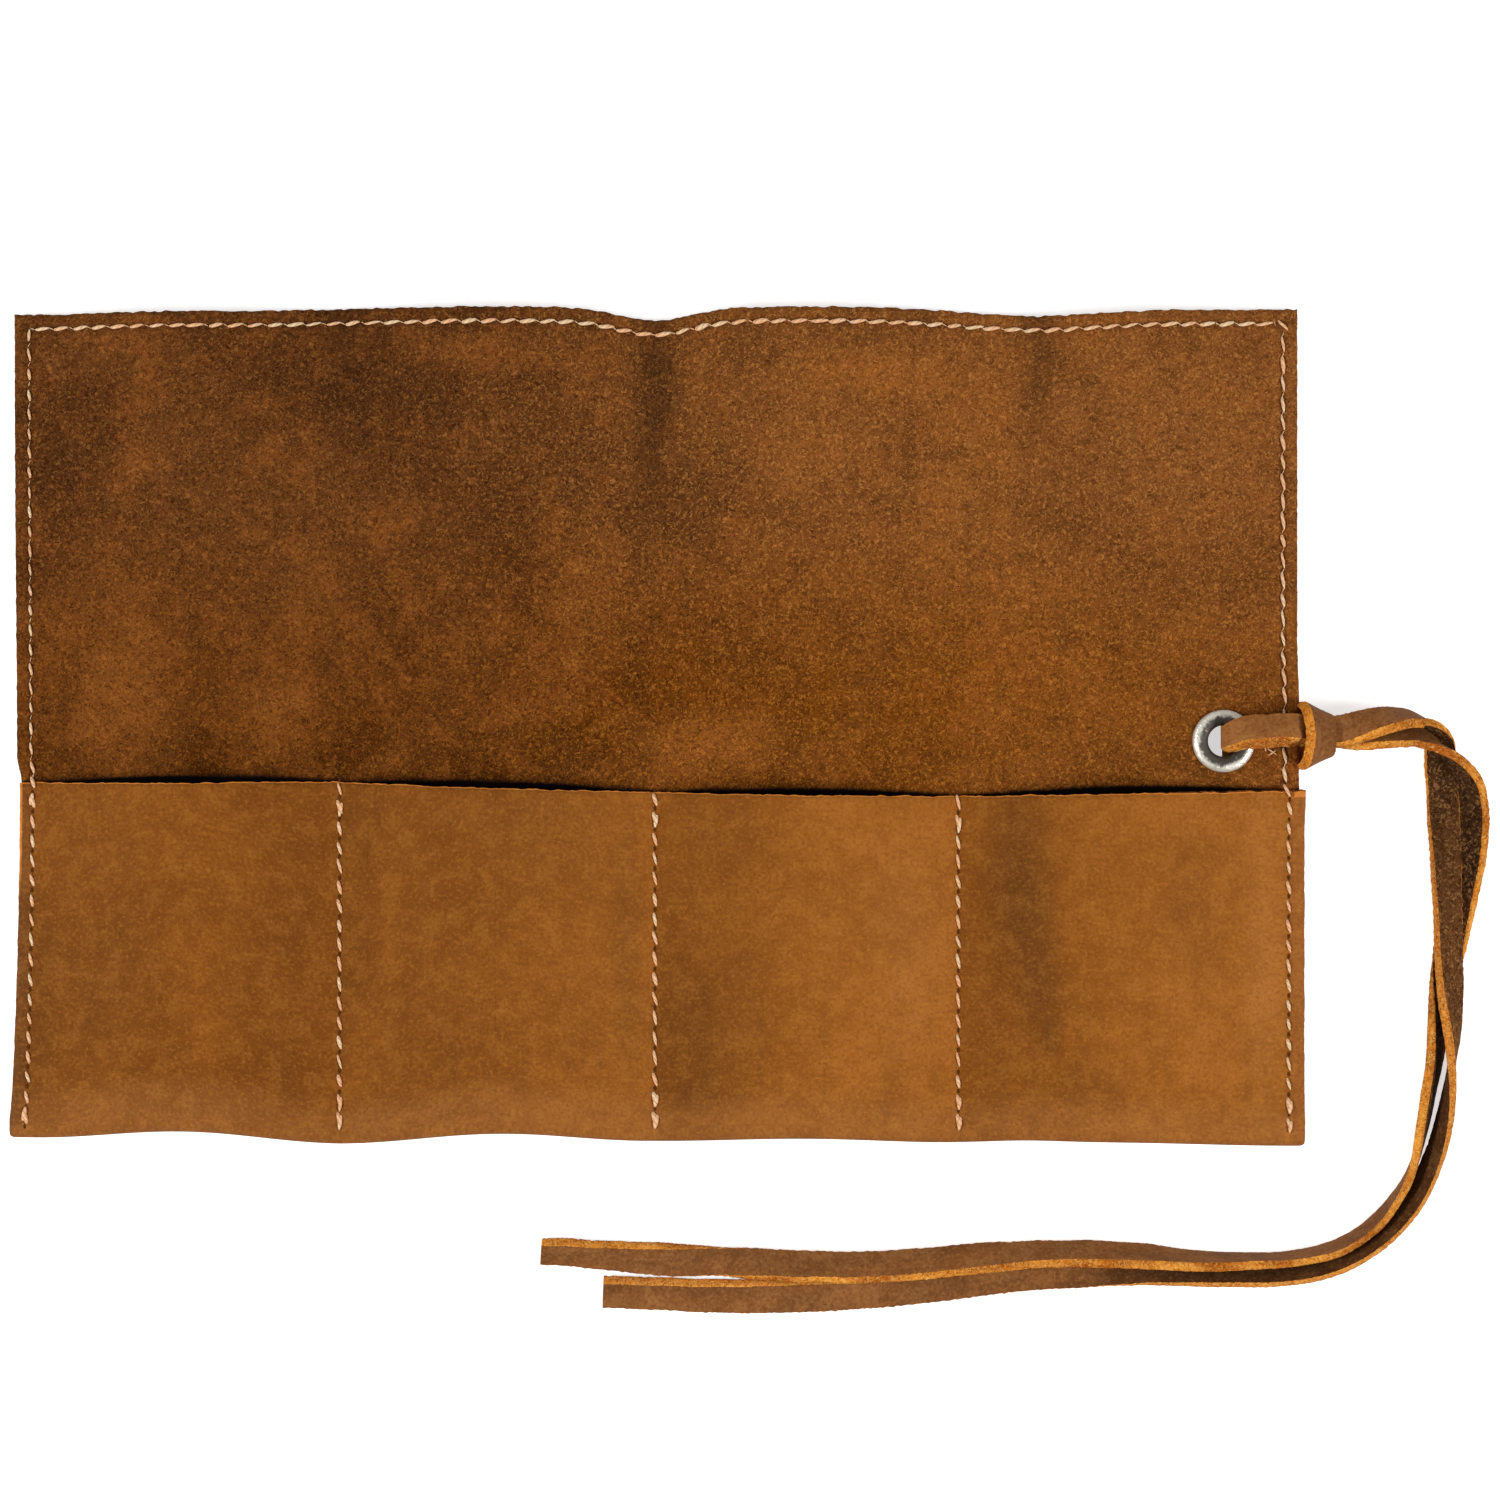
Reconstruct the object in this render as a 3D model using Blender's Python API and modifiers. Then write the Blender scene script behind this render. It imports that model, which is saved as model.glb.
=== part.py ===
"""A leather roll with four pockets, laid open, with a lace hitched through its eyelet.

One hide, flesh side up, is folded up at its lower edge into a row of pockets. The hide is divided into four bays
and, between them, three narrow strips that carry the divider seams, so that it can roll up towards its tie.
Metres, +X along the roll towards the tie, +Y towards its top edge, +Z up, origin at the middle of its underside.
"""
import math

import bpy
import bmesh
from mathutils import Vector

# Hide
BAY_WIDTHS = (0.0721, 0.0700, 0.0673, 0.0754)
ROLL_HEIGHT = 0.1864
HIDE_THICKNESS = 0.0020
END_FLARE = 0.0013            # how far each end of the folded pocket stands out past the back
BOTTOM_SLOPE = 0.0016         # how much higher the lower edge is at the left end
BOTTOM_DRAW_IN = (0.0021, 0.0020, 0.0007, 0.0005)
TOP_DIPS = ((-0.143, 0.0015, 0.050), (-0.0004, 0.0027, 0.011), (0.0850, 0.0018, 0.020))
TOP_WAVE = 0.0040
TOP_WAVE_REACH = 0.070
PLAY = 0.0003                 # clearance between pieces that touch

# Pockets
POCKET_HEIGHTS = (0.0800, 0.0774, 0.0780)  # at the left end, the middle and the right end
POCKET_BULGE = 0.0070
BULGE_PEAK = 0.55             # share of the pocket's height at which it bulges most
MOUTH_SHARE = 0.80            # share of the bulge that is left at the mouth
BULGE_FULLNESS = 1.35
FOLD_GAP = 0.0014
FOLD_GAP_MIDDLE = 0.0012      # how much more the fold opens in the middle of a bay
FOLD_EASE = 0.010

# Folding lines beside each divider seam
FOLD_STRIP = 0.0160
BODY_GAP = 0.0003

# Stitching
THREAD_RADIUS = 0.00042
STITCH_PITCH = 0.0042
STITCH_RISE = 0.00022
STITCH_SLANT = 0.00022
BORDER_INSET = 0.0032

# Eyelet
EYELET_FROM_RIGHT_END = 0.0166
EYELET_BELOW_MIDDLE = 0.0034
EYELET_BORE_RADIUS = 0.00345
EYELET_WALL = 0.0005
EYELET_FLANGE_RADIUS = 0.00695
EYELET_FLANGE_HEIGHT = 0.0009
WASHER_RADIUS = 0.0062
WASHER_THICKNESS = 0.0005
TURNED_STEPS = 32

# Lace
LACE_WIDTH = 0.0064
LACE_THICKNESS = 0.0019
HITCH_BELOW_MIDDLE = 0.0013
HITCH_STAND_OFF = 0.0014      # from the hide's edge to the bight
BIGHT_HALF_WIDTH = 0.0050     # inside, where it faces the hide
LIFT_EASE = 0.016
LIFT_BEHIND_EYELET = 0.0080
TAIL_POINTS = 40
TAIL_CROWDING = 1.35          # over 1, so that the points are closer near the hitch, where the tails twist most

# Routes of the two free tails, in millimetres and degrees: across, along, height of the lace's underside, and how
# far the lace is turned to its right: 0 lies grain side up, 90 stands on its left edge, 180 lies flesh side up.
SHORT_TAIL = (
    (151.3, -1.3, 9.3, 0), (154.2, -1.2, 9.3, 4), (158.0, 0.7, 7.3, 28), (161.5, 1.8, 4.7, 48), (165.0, 2.1, 2.5, 62),
    (168.0, 1.9, 1.2, 73), (170.6, 0.9, 0.3, 88), (172.6, -0.9, 0, 118), (174.0, -3.4, 0, 154), (174.6, -6.2, 0, 174),
    (174.9, -9.5, 0, 180), (175.0, -14.0, 0, 182), (175.0, -21.0, 0.3, 186), (175.1, -29.8, 1.6, 192),
    (175.2, -36.0, 3.1, 198), (175.3, -42.5, 4.4, 203), (175.4, -48.0, 4.5, 205), (175.7, -54.0, 3.6, 210),
    (176.1, -60.0, 2.5, 220), (176.5, -66.0, 1.8, 236), (176.7, -72.0, 1.0, 252), (176.6, -78.0, 0.3, 268),
    (176.1, -84.0, 0, 283), (175.1, -90.0, 0, 293), (173.3, -96.0, 0, 299), (170.6, -101.7, 0, 302),
    (166.9, -107.4, 0, 302), (162.2, -112.5, 0, 301), (156.8, -116.6, 0, 300), (150.1, -119.9, 0, 299),
    (142.5, -121.8, 0, 298), (134.5, -122.4, 0, 298), (120.8, -122.2, 0, 301), (107.4, -121.6, 0, 316),
    (94.1, -121.5, 0, 343), (80.8, -122.2, 0, 356), (67.4, -123.8, 0, 359), (54.1, -125.4, 0, 360),
    (40.8, -126.3, 0, 361), (28.0, -126.8, 0, 363), (14.8, -126.9, 0, 367), (0.6, -126.4, 0, 371),
    (-11.9, -125.9, 0, 372),
)
LONG_TAIL = (
    (151.3, -1.3, 7.0, 0), (154.2, -1.4, 6.3, 5), (158.0, -1.9, 3.8, 28), (161.5, -2.2, 3.5, 50), (165.0, -2.6, 3.2, 62),
    (168.0, -3.3, 3.6, 72), (170.6, -4.4, 4.2, 81), (173.2, -5.7, 4.5, 88), (176.4, -7.1, 3.7, 94),
    (179.8, -9.7, 2.6, 100), (182.2, -13.0, 1.5, 106), (183.0, -16.8, 0.8, 112), (182.8, -21.0, 0.3, 118),
    (181.8, -29.5, 0, 122), (179.4, -38.5, 0, 136), (176.9, -47.6, 0, 160), (175.3, -56.5, 0, 193),
    (174.0, -65.4, 0, 225), (172.6, -74.3, 0, 247), (170.9, -83.2, 0, 264), (169.6, -90.0, 0, 274),
    (168.2, -96.5, 0, 281), (166.4, -101.2, 0, 285), (164.1, -105.0, 0, 288), (161.5, -108.5, 0, 290),
    (158.3, -111.6, 0, 290), (154.4, -114.3, 0, 289), (149.7, -116.5, 0, 287), (142.0, -118.3, 0, 283),
    (134.1, -118.8, 0, 282), (127.5, -119.0, 0, 285), (120.8, -118.9, 0, 290), (114.0, -118.4, 0, 296),
    (107.4, -117.8, 0, 302), (94.1, -117.3, 0, 307), (80.8, -117.7, 0, 313), (67.4, -118.8, 0, 326),
    (54.1, -120.0, 0, 330), (40.8, -120.5, 0, 332), (28.0, -120.1, 0, 340), (16.5, -119.4, 0, 352),
    (0.6, -118.7, 0, 362), (-14.0, -117.7, 0, 368), (-25.7, -116.9, 0, 370),
)

# Colour, roughness and metallic of each material
SUEDE = ((0.155, 0.062, 0.016), 0.95, 0.0)
SMOOTH_LEATHER = ((0.270, 0.095, 0.020), 0.60, 0.0)
LACE_LEATHER = ((0.235, 0.090, 0.026), 0.60, 0.0)
THREAD = ((0.720, 0.480, 0.300), 0.80, 0.0)
NICKEL = ((0.560, 0.540, 0.500), 0.32, 1.0)

# Places that follow from the sizes
HALF_HIDE = sum(BAY_WIDTHS) / 2
SEAMS = tuple(sum(BAY_WIDTHS[:count]) - HALF_HIDE for count in (1, 2, 3))
STITCH_LINES = (-HALF_HIDE + BORDER_INSET, *SEAMS, HALF_HIDE - BORDER_INSET)
EYELET_PLACE = (HALF_HIDE - EYELET_FROM_RIGHT_END, -EYELET_BELOW_MIDDLE)
THREAD_HEIGHT = PLAY + 2 * THREAD_RADIUS + STITCH_RISE
EYELET_LIFT = LACE_THICKNESS + WASHER_THICKNESS + 2.5 * PLAY
HITCH_END = HALF_HIDE + HITCH_STAND_OFF + LACE_WIDTH


def smooth(value):
    """0 below 0, 1 above 1 and a smooth step between."""
    held = min(max(value, 0.0), 1.0)
    return held * held * (3 - 2 * held)


def share_of_bay(x):
    """The bay that x lies in, and the share of the way across it between its two stitch lines."""
    for bay, (left, right) in enumerate(zip(STITCH_LINES[:-1], STITCH_LINES[1:])):
        if x <= right or bay == 3:
            return bay, min(max((x - left) / (right - left), 0.0), 1.0)


def bottom_edge(x):
    bay, share = share_of_bay(x)
    slope = BOTTOM_SLOPE * (HALF_HIDE - x) / (2 * HALF_HIDE)
    return -ROLL_HEIGHT / 2 + slope + BOTTOM_DRAW_IN[bay] * math.sin(math.pi * share) ** 2


def top_edge(x):
    dips = sum(deep * math.exp(-((x - place) / wide) ** 2) for place, deep, wide in TOP_DIPS)
    return ROLL_HEIGHT / 2 - dips


def mouth_edge(x):
    left, middle, right = POCKET_HEIGHTS
    side = right if x > 0 else left
    height = middle + (side - middle) * (x / HALF_HIDE) ** 2
    return -ROLL_HEIGHT / 2 + height


def underside(x, y):
    """Height of the hide's underside over what it lies on."""
    share = share_of_bay(x)[1]
    along = smooth((y - top_edge(x) + TOP_WAVE_REACH) / TOP_WAVE_REACH)
    wave = TOP_WAVE * math.sin(math.pi * share) ** 2 * along
    from_eyelet = max(EYELET_PLACE[0] - LIFT_BEHIND_EYELET - x, 0.0)
    hitch_half = LACE_WIDTH + EYELET_WALL + PLAY
    from_hitch = max(abs(y + EYELET_BELOW_MIDDLE) - hitch_half, 0.0)
    lift = EYELET_LIFT * smooth(1 - math.hypot(from_eyelet, from_hitch) / LIFT_EASE)
    return wave * (1 - lift / EYELET_LIFT) + lift


def fold_gap(x):
    return FOLD_GAP + FOLD_GAP_MIDDLE * math.sin(math.pi * share_of_bay(x)[1])


def fold_centre(x):
    """Where the fold's half round starts, measured along Y."""
    return bottom_edge(x) + HIDE_THICKNESS + fold_gap(x) / 2


def pocket_room(x, y):
    """Height of the room between the two layers of the pocket."""
    start, end = fold_centre(x), mouth_edge(x)
    share = min(max((y - start) / (end - start), 0.0), 1.0)
    if share < BULGE_PEAK:
        swell = 1 - (1 - share / BULGE_PEAK) ** 2
    else:
        swell = 1 - (1 - MOUTH_SHARE) * smooth((share - BULGE_PEAK) / (1 - BULGE_PEAK))
    across = math.sin(math.pi * share_of_bay(x)[1]) ** BULGE_FULLNESS
    at_fold = (fold_gap(x) - PLAY) * (1 - smooth((y - start) / FOLD_EASE))
    return PLAY + at_fold + POCKET_BULGE * across * swell


def flared(x, y):
    """x, moved outwards at the two ends where the pocket stands out past the back."""
    towards_end = smooth((abs(x) - HALF_HIDE + 0.010) / 0.010)
    along = smooth((mouth_edge(x) - y) / (mouth_edge(x) - bottom_edge(x)))
    return x + math.copysign(END_FLARE * towards_end * along, x)


def material(name, look):
    colour, roughness, metallic = look
    made = bpy.data.materials.new(name)
    made.use_nodes = True
    shader = made.node_tree.nodes["Principled BSDF"]
    shader.inputs["Base Color"].default_value = (*colour, 1.0)
    shader.inputs["Roughness"].default_value = roughness
    shader.inputs["Metallic"].default_value = metallic
    return made


def add_object(name, data, finish, home):
    made = bpy.data.objects.new(name, data)
    data.materials.append(finish)
    home.objects.link(made)
    return made


def sheet(name, across, along, place, offset, finish, home):
    """A sheet of leather: a grid whose points place(share across, share along) sets, with the hide's thickness."""
    mesh = bpy.data.meshes.new(name)
    grid = bmesh.new()
    bmesh.ops.create_grid(grid, x_segments=across, y_segments=along, size=0.5)
    for vertex in grid.verts:
        vertex.co = place(vertex.co.x + 0.5, vertex.co.y + 0.5)
    grid.to_mesh(mesh)
    grid.free()
    made = add_object(name, mesh, finish, home)
    thicken = made.modifiers.new("Thickness", "SOLIDIFY")
    thicken.thickness = HIDE_THICKNESS
    thicken.offset = offset
    thicken.use_even_offset = True
    return made


def back_panel(name, left, right, columns, rows, finish, home):
    def place(across, along):
        x = left + (right - left) * across
        low = fold_centre(x) + PLAY
        y = low + (top_edge(x) - low) * along
        return Vector((flared(x, y), y, underside(x, y)))

    return sheet(name, columns, rows, place, 1.0, finish, home)


def pocket_front(name, left, right, columns, finish, home):
    """The pocket's outer layer with the fold under it, from where the fold meets the back up to the mouth."""
    turn_steps, rise_steps = 6, 11
    steps = turn_steps + rise_steps

    def place(across, along):
        x = left + (right - left) * across
        step = round(along * steps)
        centre, radius = fold_centre(x), (HIDE_THICKNESS + fold_gap(x)) / 2
        if step < turn_steps:
            turn = math.pi * step / turn_steps
            y = centre - radius * math.sin(turn)
            z = HIDE_THICKNESS / 2 + radius * (1 - math.cos(turn))
            return Vector((flared(x, y), y, z + underside(x, y)))
        rise = (step - turn_steps) / rise_steps
        rise = 0.4 * rise + 0.3 * (1 - math.cos(math.pi * rise))
        y = centre + (mouth_edge(x) - centre) * rise
        z = underside(x, y) + 1.5 * HIDE_THICKNESS + pocket_room(x, y)
        return Vector((flared(x, y), y, z))

    return sheet(name, columns, steps, place, 0.0, finish, home)


def poly_curve(name, points, finish, home):
    """A curve object through points of (x, y, z, radius, tilt)."""
    curve = bpy.data.curves.new(name, "CURVE")
    curve.dimensions = "3D"
    curve.twist_mode = "Z_UP"
    curve.use_fill_caps = True
    spline = curve.splines.new("POLY")
    spline.points.add(len(points) - 1)
    for point, (x, y, z, radius, tilt) in zip(spline.points, points):
        point.co = (x, y, z, 1.0)
        point.radius = radius
        point.tilt = tilt
    return add_object(name, curve, finish, home)


def stitching(name, route, finish, home):
    """A thread that lies on the leather: it dips at each needle hole and humps between two, and leans a little."""
    lengths = [0.0]
    for here, after in zip(route[:-1], route[1:]):
        lengths.append(lengths[-1] + (Vector(after[:2]) - Vector(here[:2])).length)
    halves = 2 * max(1, round(lengths[-1] / STITCH_PITCH))
    points = []
    for count in range(halves + 1):
        wanted = lengths[-1] * count / halves
        leg = next(k for k in range(1, len(lengths)) if lengths[k] >= wanted - 1e-9)
        share = (wanted - lengths[leg - 1]) / max(lengths[leg] - lengths[leg - 1], 1e-9)
        here, after = Vector(route[leg - 1]), Vector(route[leg])
        point = here.lerp(after, share)
        along = (after - here).normalized()
        side = Vector((-along.y, along.x, 0.0)) * STITCH_SLANT * (1 if count % 2 else -1)
        rise = PLAY + THREAD_RADIUS + (STITCH_RISE if count % 2 else 0.0)
        points.append((*(point + side + Vector((0.0, 0.0, rise))), 1.0, 0.0))
    made = poly_curve(name, points, finish, home)
    made.data.bevel_depth = THREAD_RADIUS
    made.data.bevel_resolution = 0
    return made


def on_back(x, y):
    return (flared(x, y), y, underside(x, y) + HIDE_THICKNESS)


def on_pocket(x, y):
    return (flared(x, y), y, underside(x, y) + 2 * HIDE_THICKNESS + pocket_room(x, y))


def spread(start, end, count):
    return [start + (end - start) * step / count for step in range(count + 1)]


def side_route(x):
    """The border's stitch line down one end, from the corner at the top to the fold."""
    step_down = mouth_edge(x) + 2 * HIDE_THICKNESS
    back = [on_back(x, y) for y in spread(top_edge(x) - BORDER_INSET, step_down, 12)]
    lifted = on_pocket(x, mouth_edge(x))[2]
    over_mouth = [(x, mouth_edge(x) + HIDE_THICKNESS, lifted + PLAY)]
    front = [on_pocket(x, y) for y in spread(mouth_edge(x), fold_centre(x), 12)]
    return back + over_mouth + front


def top_route(left, right):
    return [on_back(x, top_edge(x) - BORDER_INSET) for x in spread(left, right, 16)]


def flat_lace(name, points, profile, finish, home):
    curve = poly_curve(name, points, finish, home)
    curve.data.bevel_mode = "OBJECT"
    curve.data.bevel_object = profile
    return as_mesh(curve, home)


def lace_profile(home):
    """The lace's cross section, as a guide that other curves take their shape from."""
    curve = bpy.data.curves.new("lace_profile", "CURVE")
    curve.dimensions = "2D"
    curve.fill_mode = "NONE"
    spline = curve.splines.new("POLY")
    spline.points.add(3)
    corners = ((-1, -1), (1, -1), (1, 1), (-1, 1))
    for point, (side, face) in zip(spline.points, corners):
        point.co = (side * LACE_WIDTH / 2, face * LACE_THICKNESS / 2, 0.0, 1.0)
    spline.use_cyclic_u = True
    made = bpy.data.objects.new("lace_profile", curve)
    made.hide_render = True
    made.display_type = "WIRE"
    home.objects.link(made)
    return made


def curve_between(before, here, after, beyond, share):
    """A point of the smooth curve that runs from here to after."""
    return 0.5 * (
        2 * here
        + (after - before) * share
        + (2 * before - 5 * here + 4 * after - beyond) * share**2
        + (3 * here - before - 3 * after + beyond) * share**3
    )


def tail_points(route):
    """The tail's route as a smooth curve, with each point resting on the lace's own edge or face."""
    keys = [Vector(point) for point in route]
    keys = [keys[0]] + keys + [keys[-1]]
    fine = []
    for before, here, after, beyond in zip(keys, keys[1:], keys[2:], keys[3:]):
        fine += [curve_between(before, here, after, beyond, step / 12) for step in range(12)]
    fine.append(keys[-1])
    lengths = [0.0]
    for here, after in zip(fine[:-1], fine[1:]):
        lengths.append(lengths[-1] + (after.xyz - here.xyz).length)
    points = []
    for step in range(TAIL_POINTS + 1):
        wanted = lengths[-1] * (step / TAIL_POINTS) ** TAIL_CROWDING
        leg = next(k for k in range(1, len(lengths)) if lengths[k] >= wanted - 1e-9)
        share = (wanted - lengths[leg - 1]) / max(lengths[leg] - lengths[leg - 1], 1e-9)
        x, y, clear, turned = fine[leg - 1].lerp(fine[leg], share)
        turn = math.radians(turned)
        half = abs(math.sin(turn)) * LACE_WIDTH / 2 + abs(math.cos(turn)) * LACE_THICKNESS / 2
        points.append((x / 1000, y / 1000, max(clear, 0.0) / 1000 + half, 1.0, -turn))
    return points


def as_mesh(source, home):
    """A curve object made a mesh object, with its loose caps welded on."""
    graph = bpy.context.evaluated_depsgraph_get()
    mesh = bpy.data.meshes.new_from_object(source.evaluated_get(graph))
    shape = bmesh.new()
    shape.from_mesh(mesh)
    bmesh.ops.remove_doubles(shape, verts=shape.verts, dist=1e-6)
    bmesh.ops.recalc_face_normals(shape, faces=shape.faces)
    shape.to_mesh(mesh)
    shape.free()
    name, place = source.name, source.matrix_world.copy()
    bpy.data.objects.remove(source)
    made = bpy.data.objects.new(name, mesh)
    made.matrix_world = place
    home.objects.link(made)
    return made


def as_cutter(made):
    made.hide_render = True
    made.display_type = "WIRE"
    return made


def box(name, low, high, home):
    mesh = bpy.data.meshes.new(name)
    shape = bmesh.new()
    bmesh.ops.create_cube(shape, size=1.0)
    for vertex in shape.verts:
        vertex.co = [low[k] + (high[k] - low[k]) * (vertex.co[k] + 0.5) for k in range(3)]
    shape.to_mesh(mesh)
    shape.free()
    made = bpy.data.objects.new(name, mesh)
    home.objects.link(made)
    return made


def join(target, other):
    union = target.modifiers.new("Join", "BOOLEAN")
    union.operation = "UNION"
    union.solver = "EXACT"
    union.object = as_cutter(other)


def turned(name, profile, centre, finish, home):
    """A solid of revolution about a vertical axis, from points of (radius, height) down its outer side."""
    mesh = bpy.data.meshes.new(name)
    shape = bmesh.new()
    points = [shape.verts.new((radius, 0.0, height)) for radius, height in profile]
    for here, after in zip(points, points[1:] + points[:1]):
        shape.edges.new((here, after))
    shape.to_mesh(mesh)
    shape.free()
    made = add_object(name, mesh, finish, home)
    made.location = (*centre, 0.0)
    screw = made.modifiers.new("Turn", "SCREW")
    screw.steps = TURNED_STEPS
    screw.render_steps = TURNED_STEPS
    screw.use_merge_vertices = True
    screw.merge_threshold = 1e-5
    return made


def bight(name, finish, home):
    """The loop of the lace that passes over the two tails, wider on the side that faces the hide."""
    low, top = LACE_THICKNESS / 4, strand_height(1) + LACE_THICKNESS / 2 + PLAY
    outer_half = BIGHT_HALF_WIDTH + LACE_THICKNESS
    outline = [(-outer_half, low), (-BIGHT_HALF_WIDTH, low)]
    rise = top - low - LACE_THICKNESS
    for half, height in ((BIGHT_HALF_WIDTH, rise), (outer_half, rise + LACE_THICKNESS)):
        arch = []
        for step in range(9):
            turn = math.pi * (1 - step / 8)
            across = math.copysign(abs(math.cos(turn)) ** 0.6, math.cos(turn))
            up = math.sin(turn) ** 0.6
            arch.append((half * across, low + height * 0.55 + (height * 0.45 + LACE_THICKNESS) * up))
        outline += arch if half == BIGHT_HALF_WIDTH else [(outer_half, low)] + arch[::-1]
        if half == BIGHT_HALF_WIDTH:
            outline.append((BIGHT_HALF_WIDTH, low))
    curve = bpy.data.curves.new(name, "CURVE")
    curve.dimensions = "2D"
    curve.fill_mode = "BOTH"
    curve.extrude = LACE_WIDTH / 2
    spline = curve.splines.new("POLY")
    spline.points.add(len(outline) - 1)
    for point, (across, up) in zip(spline.points, outline):
        point.co = (across, up, 0.0, 1.0)
    spline.use_cyclic_u = True
    made = as_mesh(add_object(name, curve, finish, home), home)
    middle = HITCH_END - LACE_WIDTH / 2
    narrow = (LACE_WIDTH / 2 + 1.5 * PLAY) / BIGHT_HALF_WIDTH
    for vertex in made.data.vertices:
        across, up, along = vertex.co
        squeeze = 1 if along < 0 else narrow
        vertex.co = (middle + along, across * squeeze - HITCH_BELOW_MIDDLE, up)
    shape = bmesh.new()
    shape.from_mesh(made.data)
    bmesh.ops.recalc_face_normals(shape, faces=shape.faces)
    shape.to_mesh(made.data)
    shape.free()
    return made


def strand_height(layer):
    """Height of the middle of a strand that runs from the eyelet to the bight: 0 is the lower, 1 the upper."""
    over_leather = EYELET_LIFT + HIDE_THICKNESS + max(EYELET_FLANGE_HEIGHT, THREAD_HEIGHT) + 2 * PLAY
    return over_leather + LACE_THICKNESS / 2 + layer * (LACE_THICKNESS + PLAY)


def lace_hitch(name, profile, finish, home, cutters):
    """The lark's head: two strands under the hide, up through the eyelet, back over the edge and through the bight."""
    x, y = EYELET_PLACE
    middle = -HITCH_BELOW_MIDDLE
    low = PLAY / 4
    made = None
    for side in (-1, 1):
        centre = middle + side * (LACE_WIDTH + PLAY) / 2
        corner = (x - EYELET_BORE_RADIUS / 2, centre - LACE_WIDTH / 2, low)
        far = (HITCH_END, centre + LACE_WIDTH / 2, low + LACE_THICKNESS)
        strip = box(f"under_strand_{side}", corner, far, cutters if made else home)
        if made:
            join(made, strip)
        else:
            made = strip
    made.name = made.data.name = name
    made.data.materials.append(finish)
    block_low = (x - 0.0009, y - 0.0022, low + LACE_THICKNESS / 2)
    block_high = (x + 0.0021, y + 0.0022, strand_height(0))
    join(made, box("strands_in_eyelet", block_low, block_high, cutters))
    for layer, (lean, run) in enumerate(((0.0010, 0.0042), (-0.0006, 0.0024))):
        height = strand_height(layer)
        route = [
            (x + lean, y + 0.0002, 0.0046, 0.60, 0.0),
            (x + lean + 0.0005, y + 0.0005, height - 0.0014, 0.72, 0.0),
            (x + run, y + 0.0011, height - 0.0001, 1.0, 0.0),
            (x + run + 0.0030, middle, height, 1.0, 0.0),
            (HITCH_END + PLAY, middle, height, 1.0, 0.0),
        ]
        join(made, flat_lace(f"front_strand_{layer}", route, profile, finish, cutters))
    join(made, bight("bight", finish, cutters))
    return made


def eyelet(name, finish, home):
    bore, wall = EYELET_BORE_RADIUS, EYELET_WALL
    seat = EYELET_LIFT + HIDE_THICKNESS + PLAY
    base = EYELET_LIFT - WASHER_THICKNESS - PLAY
    crown = seat + EYELET_FLANGE_HEIGHT
    wide = EYELET_FLANGE_RADIUS
    profile = [
        (bore, base),
        (bore, seat + 0.3 * EYELET_FLANGE_HEIGHT),
        (bore + 0.4 * wall, seat + 0.75 * EYELET_FLANGE_HEIGHT),
        (bore + 1.6 * wall, crown),
        (wide - 2.2 * wall, crown - 0.1 * EYELET_FLANGE_HEIGHT),
        (wide - 0.6 * wall, seat + 0.55 * EYELET_FLANGE_HEIGHT),
        (wide, seat),
        (bore + wall, seat),
        (bore + wall, base),
    ]
    return turned(name, profile, EYELET_PLACE, finish, home)


def washer(name, finish, home):
    top = EYELET_LIFT - PLAY
    inner, low = EYELET_BORE_RADIUS + EYELET_WALL + PLAY, top - WASHER_THICKNESS
    profile = [(inner, low), (inner, top), (WASHER_RADIUS, top), (WASHER_RADIUS, low)]
    return turned(name, profile, EYELET_PLACE, finish, home)


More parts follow.
